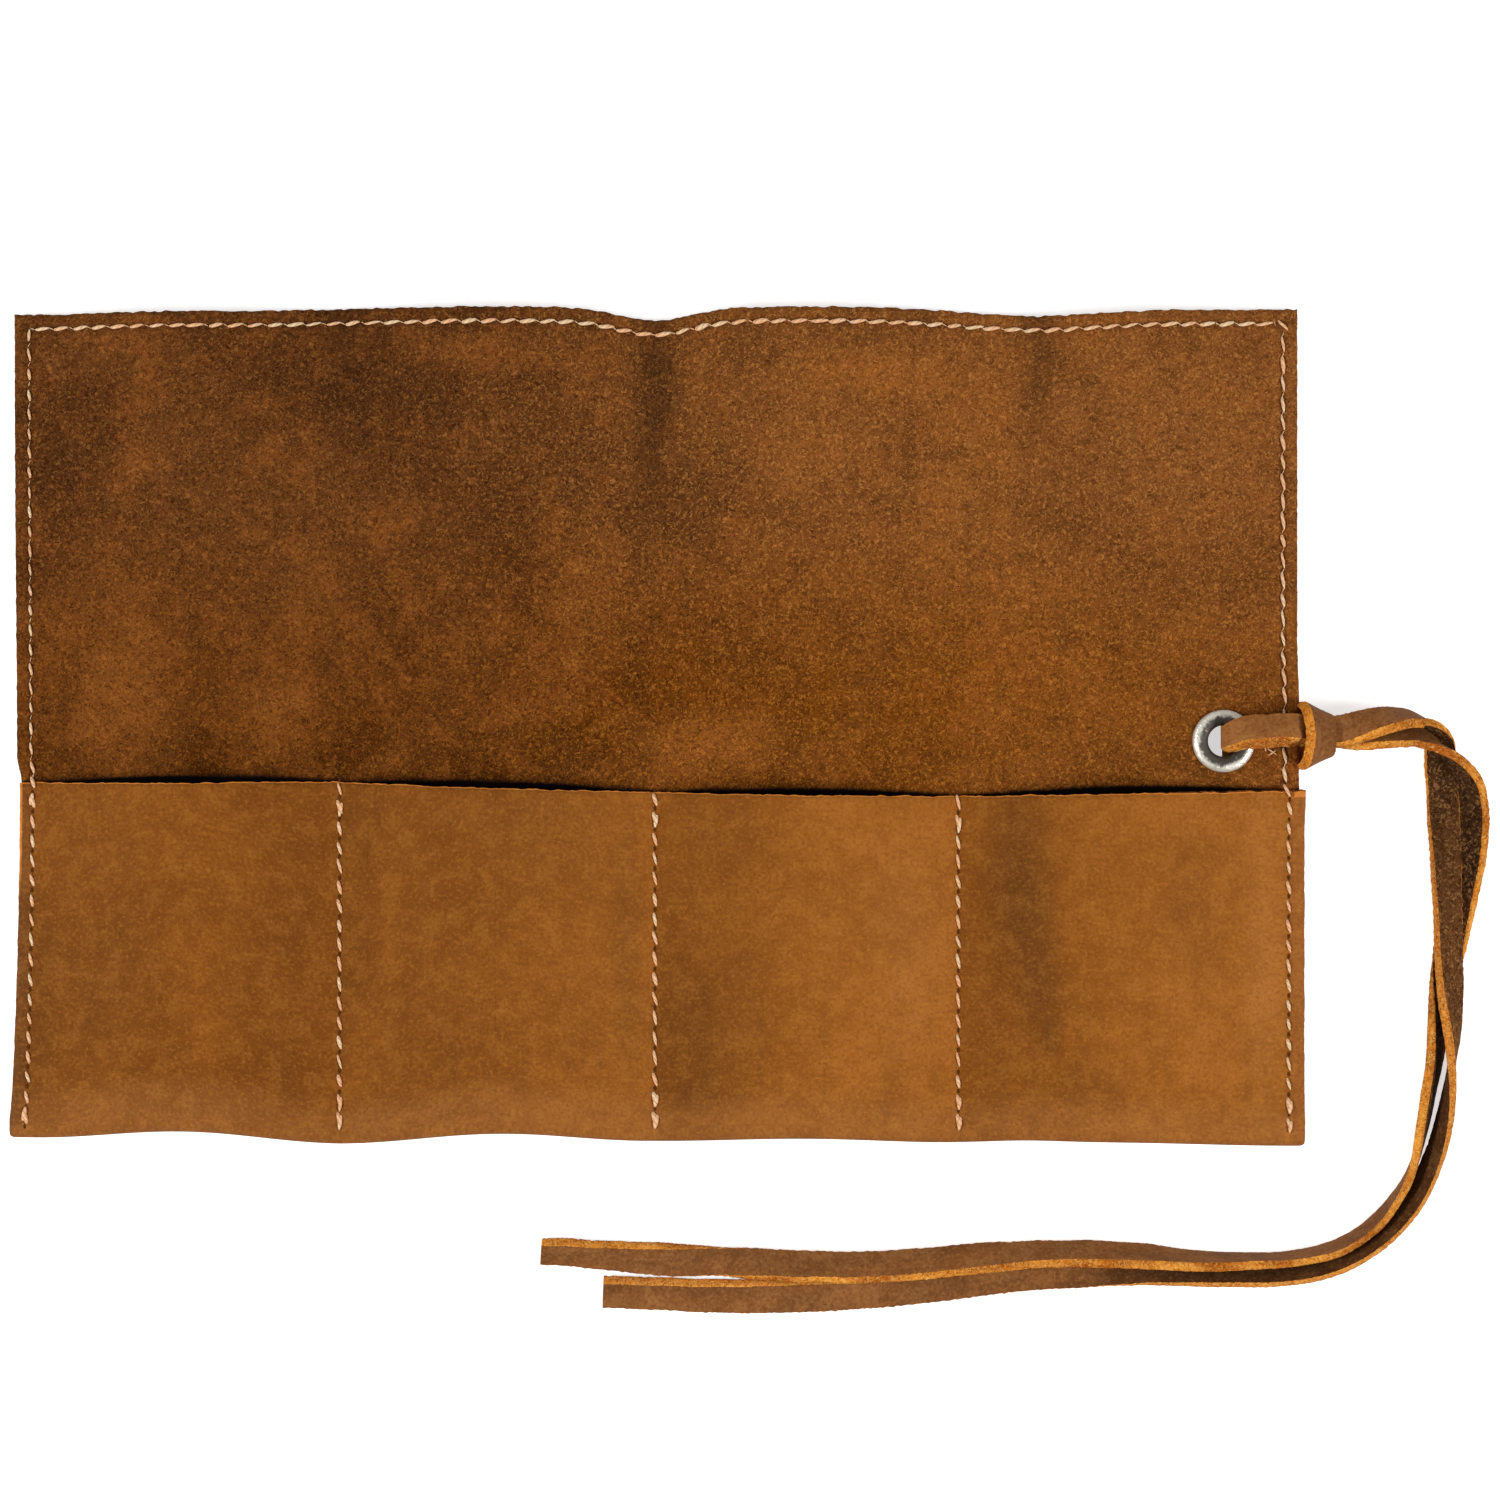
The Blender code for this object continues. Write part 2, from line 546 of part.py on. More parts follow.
def main():
    for old in list(bpy.data.objects):
        bpy.data.objects.remove(old)
    home = bpy.data.collections.new("leather_roll")
    cutters = bpy.data.collections.new("cutters")
    bpy.context.scene.collection.children.link(home)
    bpy.context.scene.collection.children.link(cutters)
    suede = material("suede", SUEDE)
    smooth_leather = material("smooth_leather", SMOOTH_LEATHER)
    lace = material("lace_leather", LACE_LEATHER)
    thread = material("thread", THREAD)
    nickel = material("nickel", NICKEL)

    # The hide's bays and the strips between them, with the border stitching of each
    folds = [seam + side * FOLD_STRIP / 2 for seam in SEAMS for side in (-1, 1)]
    limits = [-HALF_HIDE, *folds, HALF_HIDE]
    for number, (start, stop) in enumerate(zip(limits[:-1], limits[1:])):
        is_bay = number % 2 == 0
        label = f"bay_{number // 2 + 1}" if is_bay else f"seam_{number // 2 + 1}"
        left = start + (BODY_GAP / 2 if number > 0 else 0.0)
        right = stop - (BODY_GAP / 2 if number < 6 else 0.0)
        columns = (4, 11)[is_bay] + 4 * (number == 6)
        rows = 34 if number == 6 else 14
        back = back_panel(f"back_{label}", left, right, columns, rows, suede, home)
        pocket_front(f"pocket_{label}", left, right, columns, smooth_leather, home)
        thread_left = STITCH_LINES[0] if number == 0 else left
        thread_right = STITCH_LINES[-1] if number == 6 else right
        route = top_route(thread_left, thread_right)
        if number == 0:
            route = side_route(STITCH_LINES[0])[::-1] + route[1:]
        if number == 6:
            route += side_route(STITCH_LINES[-1])[1:]
            hole = turned("eyelet_hole", hole_profile(), EYELET_PLACE, suede, cutters)
            cut = back.modifiers.new("Eyelet hole", "BOOLEAN")
            cut.operation = "DIFFERENCE"
            cut.solver = "EXACT"
            cut.object = as_cutter(hole)
        stitching(f"border_stitching_{label}", route, thread, home)

    # The divider stitching, from the pocket's mouth down to its fold
    for number, x in enumerate(SEAMS):
        route = [on_pocket(x, y) for y in spread(mouth_edge(x) - 0.0008, fold_centre(x), 12)]
        stitching(f"divider_stitching_{number + 1}", route, thread, home)

    # The eyelet, and the lace that is hitched through it
    eyelet("eyelet", nickel, home)
    washer("eyelet_washer", nickel, home)
    profile = lace_profile(cutters)
    lace_hitch("lace_hitch", profile, lace, home, cutters)
    flat_lace("lace_tail_short", tail_points(SHORT_TAIL), profile, lace, home)
    flat_lace("lace_tail_long", tail_points(LONG_TAIL), profile, lace, home)


def hole_profile():
    radius = EYELET_BORE_RADIUS + EYELET_WALL + PLAY
    high = EYELET_LIFT + 2 * HIDE_THICKNESS
    return [(0.0, 0.0), (0.0, high), (radius, high), (radius, 0.0)]


main()
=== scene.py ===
import math

import bpy
import numpy as np
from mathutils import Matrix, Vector


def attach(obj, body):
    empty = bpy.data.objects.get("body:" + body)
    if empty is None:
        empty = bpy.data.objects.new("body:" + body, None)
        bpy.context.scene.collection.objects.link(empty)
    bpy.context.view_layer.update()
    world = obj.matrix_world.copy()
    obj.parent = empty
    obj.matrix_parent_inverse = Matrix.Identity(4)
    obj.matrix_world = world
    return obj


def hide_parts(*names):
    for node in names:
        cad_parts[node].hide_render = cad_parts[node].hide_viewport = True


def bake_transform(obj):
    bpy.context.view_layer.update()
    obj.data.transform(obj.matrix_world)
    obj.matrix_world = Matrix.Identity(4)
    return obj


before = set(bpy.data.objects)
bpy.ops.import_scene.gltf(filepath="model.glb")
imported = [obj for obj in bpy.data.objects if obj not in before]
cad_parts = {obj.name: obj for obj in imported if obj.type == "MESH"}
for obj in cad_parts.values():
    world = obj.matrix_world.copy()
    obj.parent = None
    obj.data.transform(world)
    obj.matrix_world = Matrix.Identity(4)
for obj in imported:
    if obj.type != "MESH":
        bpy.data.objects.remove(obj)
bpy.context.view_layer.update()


# Table, lights and camera: the open roll lies on a white table top and is seen from straight above, between
# a soft box on its left and one on its right, in a white room.
FRAME_SIDE = 0.3333
EYE_HEIGHT = 0.950

bpy.ops.object.select_all(action="DESELECT")
bpy.ops.object.camera_add(location=(0.0208, -0.0054, EYE_HEIGHT), rotation=(0, 0, 0))
camera = bpy.context.object
camera.data.sensor_width = 36
camera.data.lens = 36 * (EYE_HEIGHT - 0.003) / FRAME_SIDE
camera.data.clip_start = 0.05
bpy.context.scene.camera = camera
bpy.context.scene.view_settings.view_transform = "Standard"


def soft_box(name, place, breadth, height, power):
    bpy.ops.object.light_add(type="AREA", location=place)
    lamp = bpy.context.object
    lamp.name = name
    lamp.rotation_euler = (-Vector(place)).to_track_quat("-Z", "Y").to_euler()
    lamp.data.shape = "RECTANGLE"
    lamp.data.size = breadth
    lamp.data.size_y = height
    lamp.data.energy = power


soft_box("left_box", (-0.76, -0.20, 0.72), 0.50, 0.16, 6.3)
soft_box("right_box", (0.84, -0.24, 0.72), 0.50, 0.16, 6.1)

world = bpy.data.worlds.new("white_room")
bpy.context.scene.world = world
world.use_nodes = True
world.node_tree.nodes["Background"].inputs["Color"].default_value = (1.0, 1.0, 1.0, 1.0)
world.node_tree.nodes["Background"].inputs["Strength"].default_value = 0.28


def fill_in(node, inputs):
    """Gives a node's inputs, by name or number, a value or a link."""
    for name, value in inputs.items():
        if isinstance(value, bpy.types.NodeSocket):
            node.id_data.links.new(value, node.inputs[name])
        else:
            node.inputs[name].default_value = value


def put(kind, inputs, result=0, wiring=None, **settings):
    """Adds a node beside those that feed it, or to the given wiring, and returns one of its outputs."""
    if wiring is None:
        wiring = next(value.id_data for value in inputs.values() if isinstance(value, bpy.types.NodeSocket))
    node = wiring.nodes.new("ShaderNode" + kind)
    for name, value in settings.items():
        setattr(node, name, value)
    fill_in(node, inputs)
    return node.outputs[result]


def sums(operation, first, second=0.0, clamp=False):
    return put("Math", {0: first, 1: second}, operation=operation, use_clamp=clamp)


bpy.ops.mesh.primitive_plane_add(size=8, location=(0, 0, -0.0005))
table_top = bpy.context.object
table_top.name = "table_top"
white = bpy.data.materials.new("white_table")
white.use_nodes = True
rays = put("LightPath", {}, 0, white.node_tree).node.outputs
looked_at = rays["Is Camera Ray"]
for ray in ("Is Glossy Ray", "Is Transmission Ray"):
    looked_at = sums("MAXIMUM", looked_at, rays[ray])
fill_in(white.node_tree.nodes["Principled BSDF"], {
    "Base Color": (0.98, 0.98, 0.98, 1.0), "Roughness": 0.9, "Specular IOR Level": 0.1,
    "Emission Color": (1.0, 1.0, 1.0, 1.0), "Emission Strength": sums("MULTIPLY", looked_at, 0.58),
})
table_top.data.materials.append(white)


# Hide, its upper part: one piece of chrome-tanned cowhide 2 mm thick, flesh side up, cut by hand. It lies
# open on the table and arches up a little towards its top edge between the creases that rolling it up has
# left. It is modelled in six strips, split at the roll's three folding lines and halfway across the two
# middle bays.
BAY_WIDTHS = (0.0721, 0.0700, 0.0673, 0.0754)
ROLL_HEIGHT = 0.1864
HIDE = 0.0020
BORDER_INSET = 0.0032
# how the hand-cut outline strays from its rectangle: at its two ends, at the bottom fold by the stitch lines
# and between them, and at the top edge as (place, depth, width)
END_FLARE = 0.0013
LEFT_HOLLOW = 0.0011
BOTTOM_RISES = (0.0017, 0.0003, 0.0009, 0.0005, -0.0002)
BOTTOM_DRAW_IN = (0.0020, 0.0019, 0.0007, 0.0004)
TOP_DIPS = (
    (-0.143, 0.0015, 0.050), (-0.0004, 0.0027, 0.011), (0.0850, 0.0018, 0.020), (-0.0900, 0.0004, 0.014),
    (0.1180, 0.0005, 0.028), (0.0, 0.0003, 0.500),
)
# how far the hide arches up between the creases, and how far down that reaches
TOP_WAVE = 0.0040
TOP_WAVE_REACH = 0.070
# the pockets' upper edge: places along x and its height there
MOUTH_LINE = (
    (-0.1424, -0.1100, -0.0800, -0.0660, -0.0500, -0.0240, 0.0, 0.0240, 0.0670, 0.0900, 0.1424),
    (-0.0126, -0.01275, -0.0124, -0.0126, -0.0134, -0.0142, -0.01475, -0.0153, -0.0157, -0.0153, -0.0143),
)
EYELET_LIFT = 0.00315
EYELET_X, EYELET_Y = 0.1258, -0.0034
LIFT_AHEAD, LIFT_ASIDE, LIFT_REACH = 0.0080, 0.0072, 0.016
PLAY = 0.0003
GRID_STEP = 0.0008
FOLDING = 0.016
BACK_WEAR = 0.0012
EDGE_ROUNDING = 0.00045
BACK_GROOVE = 0.00028
FAR_AWAY = 9.0
PUNCH_RADIUS = 0.00425

HALF_HIDE = sum(BAY_WIDTHS) / 2
SEAMS = np.cumsum(BAY_WIDTHS)[:3] - HALF_HIDE
STITCH_LINES = np.array((-HALF_HIDE + BORDER_INSET, *SEAMS, HALF_HIDE - BORDER_INSET))
BAY_MIDDLES = (SEAMS[:2] + SEAMS[1:]) / 2

# left and right end, the bodies that a strip joins, where it starts and stops bending, and what it stands for
STRIPS = (
    (-HALF_HIDE, SEAMS[0], "bay_1", "seam_1", SEAMS[0] - FOLDING, SEAMS[0], ("bay_1",)),
    (SEAMS[0], BAY_MIDDLES[0], "seam_1", "bay_2", SEAMS[0], SEAMS[0] + FOLDING, ("seam_1",)),
    (BAY_MIDDLES[0], SEAMS[1], "bay_2", "seam_2", SEAMS[1] - FOLDING, SEAMS[1], ("bay_2",)),
    (SEAMS[1], BAY_MIDDLES[1], "seam_2", "bay_3", SEAMS[1], SEAMS[1] + FOLDING, ("seam_2",)),
    (BAY_MIDDLES[1], SEAMS[2], "bay_3", "seam_3", SEAMS[2] - FOLDING, SEAMS[2], ("bay_3",)),
    (SEAMS[2], HALF_HIDE, "seam_3", "bay_4", SEAMS[2], SEAMS[2] + FOLDING, ("seam_3", "bay_4")),
)


def smooth(value):
    inside = np.clip(value, 0.0, 1.0)
    return inside * inside * (3 - 2 * inside)


def hump(away, wide):
    """1 where away is 0, and softly down to nothing at about twice wide."""
    return np.exp(-((away / wide) ** 2))


def nearness(distance, reach):
    """1 at no distance, and evenly down to 0 at reach."""
    return np.clip(1 - distance / reach, 0.0, 1.0)


def from_ends(x):
    return np.abs(np.abs(x) - HALF_HIDE)


def bay_share(x):
    """The bay that x lies in, and the share of the way across it."""
    bay = np.searchsorted(SEAMS, x, side="left")
    left, right = STITCH_LINES[bay], STITCH_LINES[bay + 1]
    return bay, np.clip((x - left) / (right - left), 0.0, 1.0)


def fold_edge(x):
    bay, share = bay_share(x)
    rise = np.interp(x, STITCH_LINES, BOTTOM_RISES) + 0.0005 * hump(x - 0.081, 0.012)
    return -ROLL_HEIGHT / 2 + rise + np.array(BOTTOM_DRAW_IN)[bay] * np.sin(math.pi * share) ** 2


def top_edge(x):
    dips = sum(deep * hump(x - place, wide) for place, deep, wide in TOP_DIPS)
    return ROLL_HEIGHT / 2 - dips


def mouth_edge(x):
    return sum(np.interp(x + aside, *MOUTH_LINE) for aside in (-0.006, -0.002, 0.002, 0.006)) / 4


def unevenness(x, y, reach, seed):
    """Soft swells and hollows between about -1 and 1, the same at each run."""
    total = 0.0
    for turn, stretch, phase in np.random.default_rng(seed).random((11, 3)):
        angle, wave = 2 * math.pi * turn, 2 * math.pi / (reach * (0.55 + 1.1 * stretch))
        along = x * math.cos(angle) + y * math.sin(angle)
        total = total + np.sin(wave * along + 2 * math.pi * phase)
    return total / 4.7


def crease_depth(x, y):
    """How deep the rolling-up creases are, which run down from the top edge."""
    from_top = top_edge(x) - y
    middle = SEAMS[1] + 0.0007 * np.sin(from_top / 0.009) - 0.0025 * smooth((from_top - 0.015) / 0.04)
    sharp = 0.74 * hump(x - middle, 0.0050) * smooth(1 - (from_top - 0.024) / 0.046)
    sharp = sharp * (0.88 + 0.20 * unevenness(x, y, 0.016, 9))
    left = 0.6 * hump(x - SEAMS[0] - 0.001, 0.0050) * smooth(1 - (from_top - 0.006) / 0.030)
    right = 0.5 * hump(x - 0.0850, 0.0052) * smooth(1 - (from_top - 0.004) / 0.040)
    return sharp + left + right


def lie(x, y):
    """Height of the hide's underside over the table."""
    share = bay_share(x)[1]
    along = smooth((y - top_edge(x) + TOP_WAVE_REACH) / TOP_WAVE_REACH)
    wave = TOP_WAVE * np.sin(math.pi * share) ** 1.55 * along * (1 - 0.3 * crease_depth(x, y))
    behind = np.maximum(EYELET_X - LIFT_AHEAD - x, 0.0)
    aside = np.maximum(np.abs(y - EYELET_Y) - LIFT_ASIDE, 0.0)
    lift = smooth(1 - np.hypot(behind, aside) / LIFT_REACH)
    swell = 0.00022 * (1 + unevenness(x, y, 0.030, 3)) * np.sin(math.pi * share)
    swell = swell * smooth((y - mouth_edge(x)) / 0.02)
    return (wave + swell) * (1 - lift) + EYELET_LIFT * lift


def fold_gap(x):
    return 0.0014 + 0.0012 * np.sin(math.pi * bay_share(x)[1])


def fold_start(x):
    return fold_edge(x) + HIDE + fold_gap(x) / 2


def flared(x, y, in_front=0.0):
    """x, moved to where the two ends were really cut; in_front is 1 for the layer that makes the pockets."""
    towards_end = smooth((np.abs(x) - HALF_HIDE + 0.010) / 0.010)
    down = np.clip((mouth_edge(x) - y) / (mouth_edge(x) - fold_edge(x)), 0.0, 1.0)
    right = 0.0002 + END_FLARE * np.maximum(smooth(down), in_front)
    hollow = hump(y - mouth_edge(x), 0.055)
    above = smooth((y - mouth_edge(x)) / 0.006)
    left = LEFT_HOLLOW * hollow - END_FLARE * down**3.2 - (0.0005 + 0.0005 * hollow) * above
    return x + towards_end * np.where(x > 0, right, left)


def marks(start, stop, step, lines=(), cuts=()):
    """Places from start to stop, a step apart, closer at lines of stitches and at cut ends."""
    places = list(np.linspace(start, stop, round((stop - start) / step) + 1)[1:-1])
    for line in lines:
        places += [line + 0.00035 * aside for aside in range(-4, 5)]
    for cut in cuts:
        inward = 1 if cut == start else -1
        places += [cut + inward * far for far in (0.00012, 0.00035, 0.0007)]
    kept = [start]
    for place in sorted(places):
        if place - kept[-1] > 0.0001 and stop - place > 0.0001:
            kept.append(place)
    return np.array(kept + [stop])


def times(first, second, clamp=False):
    return sums("MULTIPLY", first, second, clamp)


def mixed(share, first, second, way="MIX"):
    return put("Mix", {0: share, 6: first, 7: second}, 2, data_type="RGBA", blend_type=way)


def spread(value, low, high, bottom=0.0, top=1.0):
    """A value between low and high, stretched to run from bottom to top with soft ends."""
    inputs = {"Value": value, "From Min": low, "From Max": high, "To Min": bottom, "To Max": top}
    return put("MapRange", inputs, interpolation_type="SMOOTHSTEP")


def washed(tone, *washes):
    """The tone, turned to others, each from not at all where a value is at low to its strength at high."""
    for value, low, high, strength, other in washes:
        tone = mixed(spread(value, low, high, 0.0, strength), tone, other)
    return tone


def stretched(place, scale, offset=(0.0, 0.0, 0.0)):
    return put("Mapping", {"Vector": place, "Scale": scale, "Location": offset})


def noise(place, scale, detail=3.0, rough=0.6, twist=0.0):
    inputs = {"Vector": place, "Scale": scale, "Detail": detail, "Roughness": rough, "Distortion": twist}
    return put("TexNoise", inputs)


def axes_of(vector):
    """The three numbers of a vector."""
    return put("SeparateXYZ", {0: vector}).node.outputs


def stored(wiring, label):
    """The vector that a mesh carries at its corners under this label."""
    return put("Attribute", {}, "Vector", wiring, attribute_name=label)


def paint(red, green, blue):
    """A colour as seen on a screen, from 0 to 255, as the shader takes it."""
    return (*[((c / 255 + 0.055) / 1.055) ** 2.4 if c > 10 else c / 3295 for c in (red, green, blue)], 1.0)


def spotted(tone, place, spots, other):
    """The tone, turned to another one in soft spots of (x, y, wide, high, strength)."""
    for x, y, wide, high, strength in spots:
        offset = stretched(place, (1 / wide, 1 / high, 0.0), (-x / wide, -y / high, 0.0))
        away = put("VectorMath", {0: offset}, "Value", operation="LENGTH")
        tone = mixed(times(spread(away, 1.0, 0.0), strength), tone, other)
    return tone


def new_look(name, *more_inputs):
    """A node group for how a leather looks: itself, what goes in, and the node that takes its results."""
    group = bpy.data.node_groups.new(name, "ShaderNodeTree")
    inputs = (("Place", "Vector"), ("Dark", "Color"), ("Body", "Color"), ("Pale", "Color"), *more_inputs)
    for label, kind in inputs:
        group.interface.new_socket(label, in_out="INPUT", socket_type="NodeSocket" + kind)
    for label, kind in (("Color", "Color"), ("Height", "Float")):
        group.interface.new_socket(label, in_out="OUTPUT", socket_type="NodeSocket" + kind)
    return group, group.nodes.new("NodeGroupInput").outputs, group.nodes.new("NodeGroupOutput")


def new_material(name, sheen=0.0, shine=0.3):
    """A new material: itself, its wiring and its shader."""
    made = bpy.data.materials.new(name)
    made.use_nodes = True
    shader = made.node_tree.nodes["Principled BSDF"]
    fill_in(shader, {"Specular IOR Level": shine, "Sheen Weight": sheen, "Sheen Roughness": 0.45})
    fill_in(shader, {"Sheen Tint": (0.80, 0.52, 0.30, 1.0)})
    return made, made.node_tree, shader


def bumped(height, strength, distance):
    return put("Bump", {"Height": height, "Strength": strength, "Distance": distance})


def dressed(shader, look, place, body, shade, light, roughness, relief, **more):
    """Gives a shader a look round a body tone: darker by shade, paler by the share and colour of light."""
    dark, pale = mixed(1.0, body, shade, "MULTIPLY"), mixed(light[0], body, light[1])
    tones = {"Dark": dark, "Body": body, "Pale": pale}
    seen = put("Group", {"Place": place, **tones, **more}, node_tree=look).node.outputs
    normal = bumped(seen["Height"], *relief)
    fill_in(shader, {"Base Color": seen["Color"], "Roughness": roughness, "Normal": normal})


# how brushed fibres look: short, matted, in small clumps, with single pale ones that catch the light
nap, has, out = new_look("brushed_fibres", ("Fineness", "Float"))
wobble = put("TexNoise", {"Vector": has["Place"], "Scale": 700.0, "Detail": 2.0}, "Color")
pulled = put("VectorMath", {0: wobble, 1: (0.5, 0.5, 0.5)}, operation="SUBTRACT")
pulled = put("VectorMath", {0: pulled, 1: (0.0014, 0.0014, 0.0014)}, operation="MULTIPLY")
fibre_place = put("VectorMath", {0: has["Place"], 1: pulled}, operation="ADD")
fibres = noise(fibre_place, times(has["Fineness"], 1900.0), 2.0, 0.7, 0.5)
clumps = noise(fibre_place, times(has["Fineness"], 800.0), 3.0, 0.65, 0.6)
single = noise(fibre_place, times(has["Fineness"], 1500.0), 2.0, 0.5, 1.2)
matted = sums("ADD", times(fibres, 0.62), times(clumps, 0.38))
coat = mixed(spread(matted, 0.37, 0.56), has["Dark"], has["Body"])
coat = washed(coat, (single, 0.50, 0.68, 0.78, has["Pale"]))
fill_in(out, {"Color": coat, "Height": matted})

# how the grain side looks: smooth, dry and softly clouded, with a very fine tooth and a few dry scratches
grain, has, out = new_look("smooth_grain")
clouds = noise(has["Place"], 52.0, 3.0, 0.5, 0.5)
haze = noise(has["Place"], 230.0, 3.0, 0.6, 0.4)
tooth = noise(has["Place"], 1250.0, 3.0, 0.7, 0.3)
tint = mixed(spread(clouds, 0.36, 0.62, 0.60, 1.0), has["Dark"], has["Body"])
tint = washed(
    tint, (haze, 0.46, 0.66, 0.32, has["Pale"]), (haze, 0.50, 0.32, 0.38, has["Dark"]),
    (tooth, 0.50, 0.34, 0.70, has["Dark"]), (tooth, 0.51, 0.70, 0.64, has["Pale"]),
)
cells = {"Vector": stretched(has["Place"], (1.0, 0.42, 1.0)), "Scale": 70.0, "Randomness": 1.0}
scratch = put("TexVoronoi", cells, "Distance", feature="DISTANCE_TO_EDGE")
few = spread(noise(has["Place"], 60.0, 1.0), 0.64, 0.70)
scratch = times(times(spread(scratch, 0.014, 0.003), few), 0.15)
fill_in(out, {"Color": mixed(scratch, tint, has["Pale"]), "Height": tooth})

# flesh side: brushed suede, deeper in colour towards the left and in clouds; painted shade in creases and at
# mouths
suede, wiring, shader = new_material("suede", sheen=0.06, shine=0.06)
place = stored(wiring, "hide_place")
pressed_and_fold_shade, painted_shade = axes_of(stored(wiring, "hide_marks"))[1:]
across, upward = axes_of(place)[:2]
big = noise(place, 19.0, 2.0, 0.5, 0.6)
patches = noise(place, 75.0, 3.0, 0.6, 0.6)
small = noise(place, 240.0, 3.0, 0.6, 0.4)
tone = mixed(spread(across, -0.060, 0.070), paint(88, 48, 18), paint(141, 84, 38))
low_down = times(spread(upward, 0.060, 0.0), spread(across, 0.20, 0.02, 0.35, 1.0))
tone = mixed(low_down, tone, (0.89, 0.70, 0.03, 1.0), "MULTIPLY")
# painted shade darkens the suede towards the pockets' mouths, and big clouds are paler
tone = washed(
    tone, (upward, 0.010, -0.012, 0.34, paint(76, 40, 6)), (big, 0.40, 0.64, 0.25, paint(154, 91, 40)),
)
hollows = times(spread(big, 0.52, 0.36, 0.0, 0.38), spread(across, -0.02, 0.05))
tone = mixed(hollows, tone, paint(100, 58, 24))
pale_spots = (
    (0.0486, 0.0780, 0.034, 0.010, 0.70), (-0.118, 0.010, 0.020, 0.045, 0.35),
    (0.068, 0.062, 0.030, 0.034, 0.45),
    (-0.0157, 0.028, 0.016, 0.024, 0.38), (0.0110, -0.004, 0.026, 0.012, 0.55),
    (-0.085, 0.002, 0.018, 0.020, 0.42),
    (-0.077, 0.031, 0.014, 0.020, 0.30), (-0.040, 0.083, 0.022, 0.007, 0.35),
    (0.0760, 0.050, 0.006, 0.040, 0.35),
    (0.034, 0.060, 0.020, 0.022, 0.35),
)
tone = spotted(tone, place, pale_spots, paint(170, 100, 41))
dark_spots = (
    (0.012, 0.050, 0.018, 0.018, 0.55), (-0.084, 0.055, 0.005, 0.052, 0.45),
    (0.056, 0.062, 0.003, 0.022, 0.4),
    (-0.066, 0.062, 0.012, 0.014, 0.35), (-0.004, 0.010, 0.006, 0.040, 0.30),
    (0.0036, 0.0446, 0.004, 0.009, 0.45),
)
tone = spotted(tone, place, dark_spots, paint(84, 47, 18))
tone = washed(
    tone, (patches, 0.47, 0.68, 0.34, paint(156, 90, 36)), (patches, 0.49, 0.30, 0.30, paint(76, 43, 15)),
    (small, 0.50, 0.32, 0.30, paint(74, 41, 13)), (small, 0.52, 0.70, 0.24, paint(166, 96, 40)),
)
# painted shade: darker along the creases and inside the pockets, and near black in a painted shadow just
# above each pocket's mouth
tone = mixed(times(painted_shade, 0.78, True), tone, paint(40, 22, 10))
tone = mixed(times(pressed_and_fold_shade, 0.45), tone, paint(78, 44, 20))
tone = washed(tone, (painted_shade, 1.2, 1.8, 1.0, paint(16, 9, 4)))
shade = mixed(spread(across, -0.03, 0.04), (0.40, 0.34, 0.26, 1.0), (0.50, 0.44, 0.36, 1.0))
pale_share = times(spread(painted_shade, 0.9, 1.8, 1.0, 0.0), spread(across, -0.070, 0.030, 0.52, 1.0))
pale_share = times(spread(painted_shade, 0.1, 0.8, 0.60, 0.28), pale_share)
pale_paint = mixed(low_down, paint(212, 142, 70), paint(206, 130, 46))
dressed(shader, nap, place, tone, shade, (pale_share, pale_paint), 0.95, (0.7, 0.0004), Fineness=1.0)

# grain side, shown on the underside and the pockets: painted shade darkens the left side of each pocket
smooth_leather, wiring, shader = new_material("smooth_leather", shine=0.10)
place = stored(wiring, "hide_place")
outside, pressed_and_fold_shade, over_bay = axes_of(stored(wiring, "hide_marks"))
across, upward = axes_of(place)[:2]
left_tone = mixed(spread(across, -0.15, 0.0), paint(124, 70, 17), paint(134, 76, 18))
right_tone = mixed(spread(across, -0.09, 0.035), paint(132, 74, 18), paint(166, 99, 34))
# painted shade: each pocket darker at its left side, as on the shaded slope of its bulge
tone = mixed(spread(over_bay, 0.05, 0.70), left_tone, right_tone)
drift = noise(stretched(place, (1.0, 0.6, 1.0)), 24.0, 2.0, 0.5, 0.8)
tone = washed(tone, (drift, 0.42, 0.66, 0.34, paint(162, 94, 28)))
dark_spots = (
    (0.0795, -0.1600, 0.0110, 0.030, 0.48), (0.0820, -0.1420, 0.0105, 0.024, 0.50),
    (0.0852, -0.1270, 0.0080, 0.016, 0.52), (0.0874, -0.1165, 0.0042, 0.007, 0.50),
    (0.010, -0.1180, 0.018, 0.026, 0.36), (0.008, -0.1034, 0.007, 0.008, 0.40),
    (-0.1420, -0.0955, 0.0045, 0.0035, 0.75), (0.1437, -0.0945, 0.0035, 0.0045, 0.60),
    (0.097, -0.1054, 0.016, 0.010, 0.3), (0.118, -0.1474, 0.012, 0.030, 0.25),
    (-0.0065, -0.1330, 0.006, 0.050, 0.32),
    (-0.030, -0.1630, 0.034, 0.018, 0.22),
)
tone = spotted(tone, place, dark_spots, paint(104, 60, 20))
pale_spots = ((0.1345, -0.1330, 0.007, 0.060, 0.45), (0.056, -0.1380, 0.012, 0.040, 0.3))
tone = spotted(tone, place, pale_spots, paint(190, 122, 58))
drawn = noise(stretched(place, (1.0, 0.10, 1.0)), 210.0, 3.0, 0.6)
drawn = times(spread(drawn, 0.48, 0.70), times(spread(upward, -0.135, -0.100), 0.35))
tone = mixed(drawn, tone, paint(116, 66, 22))
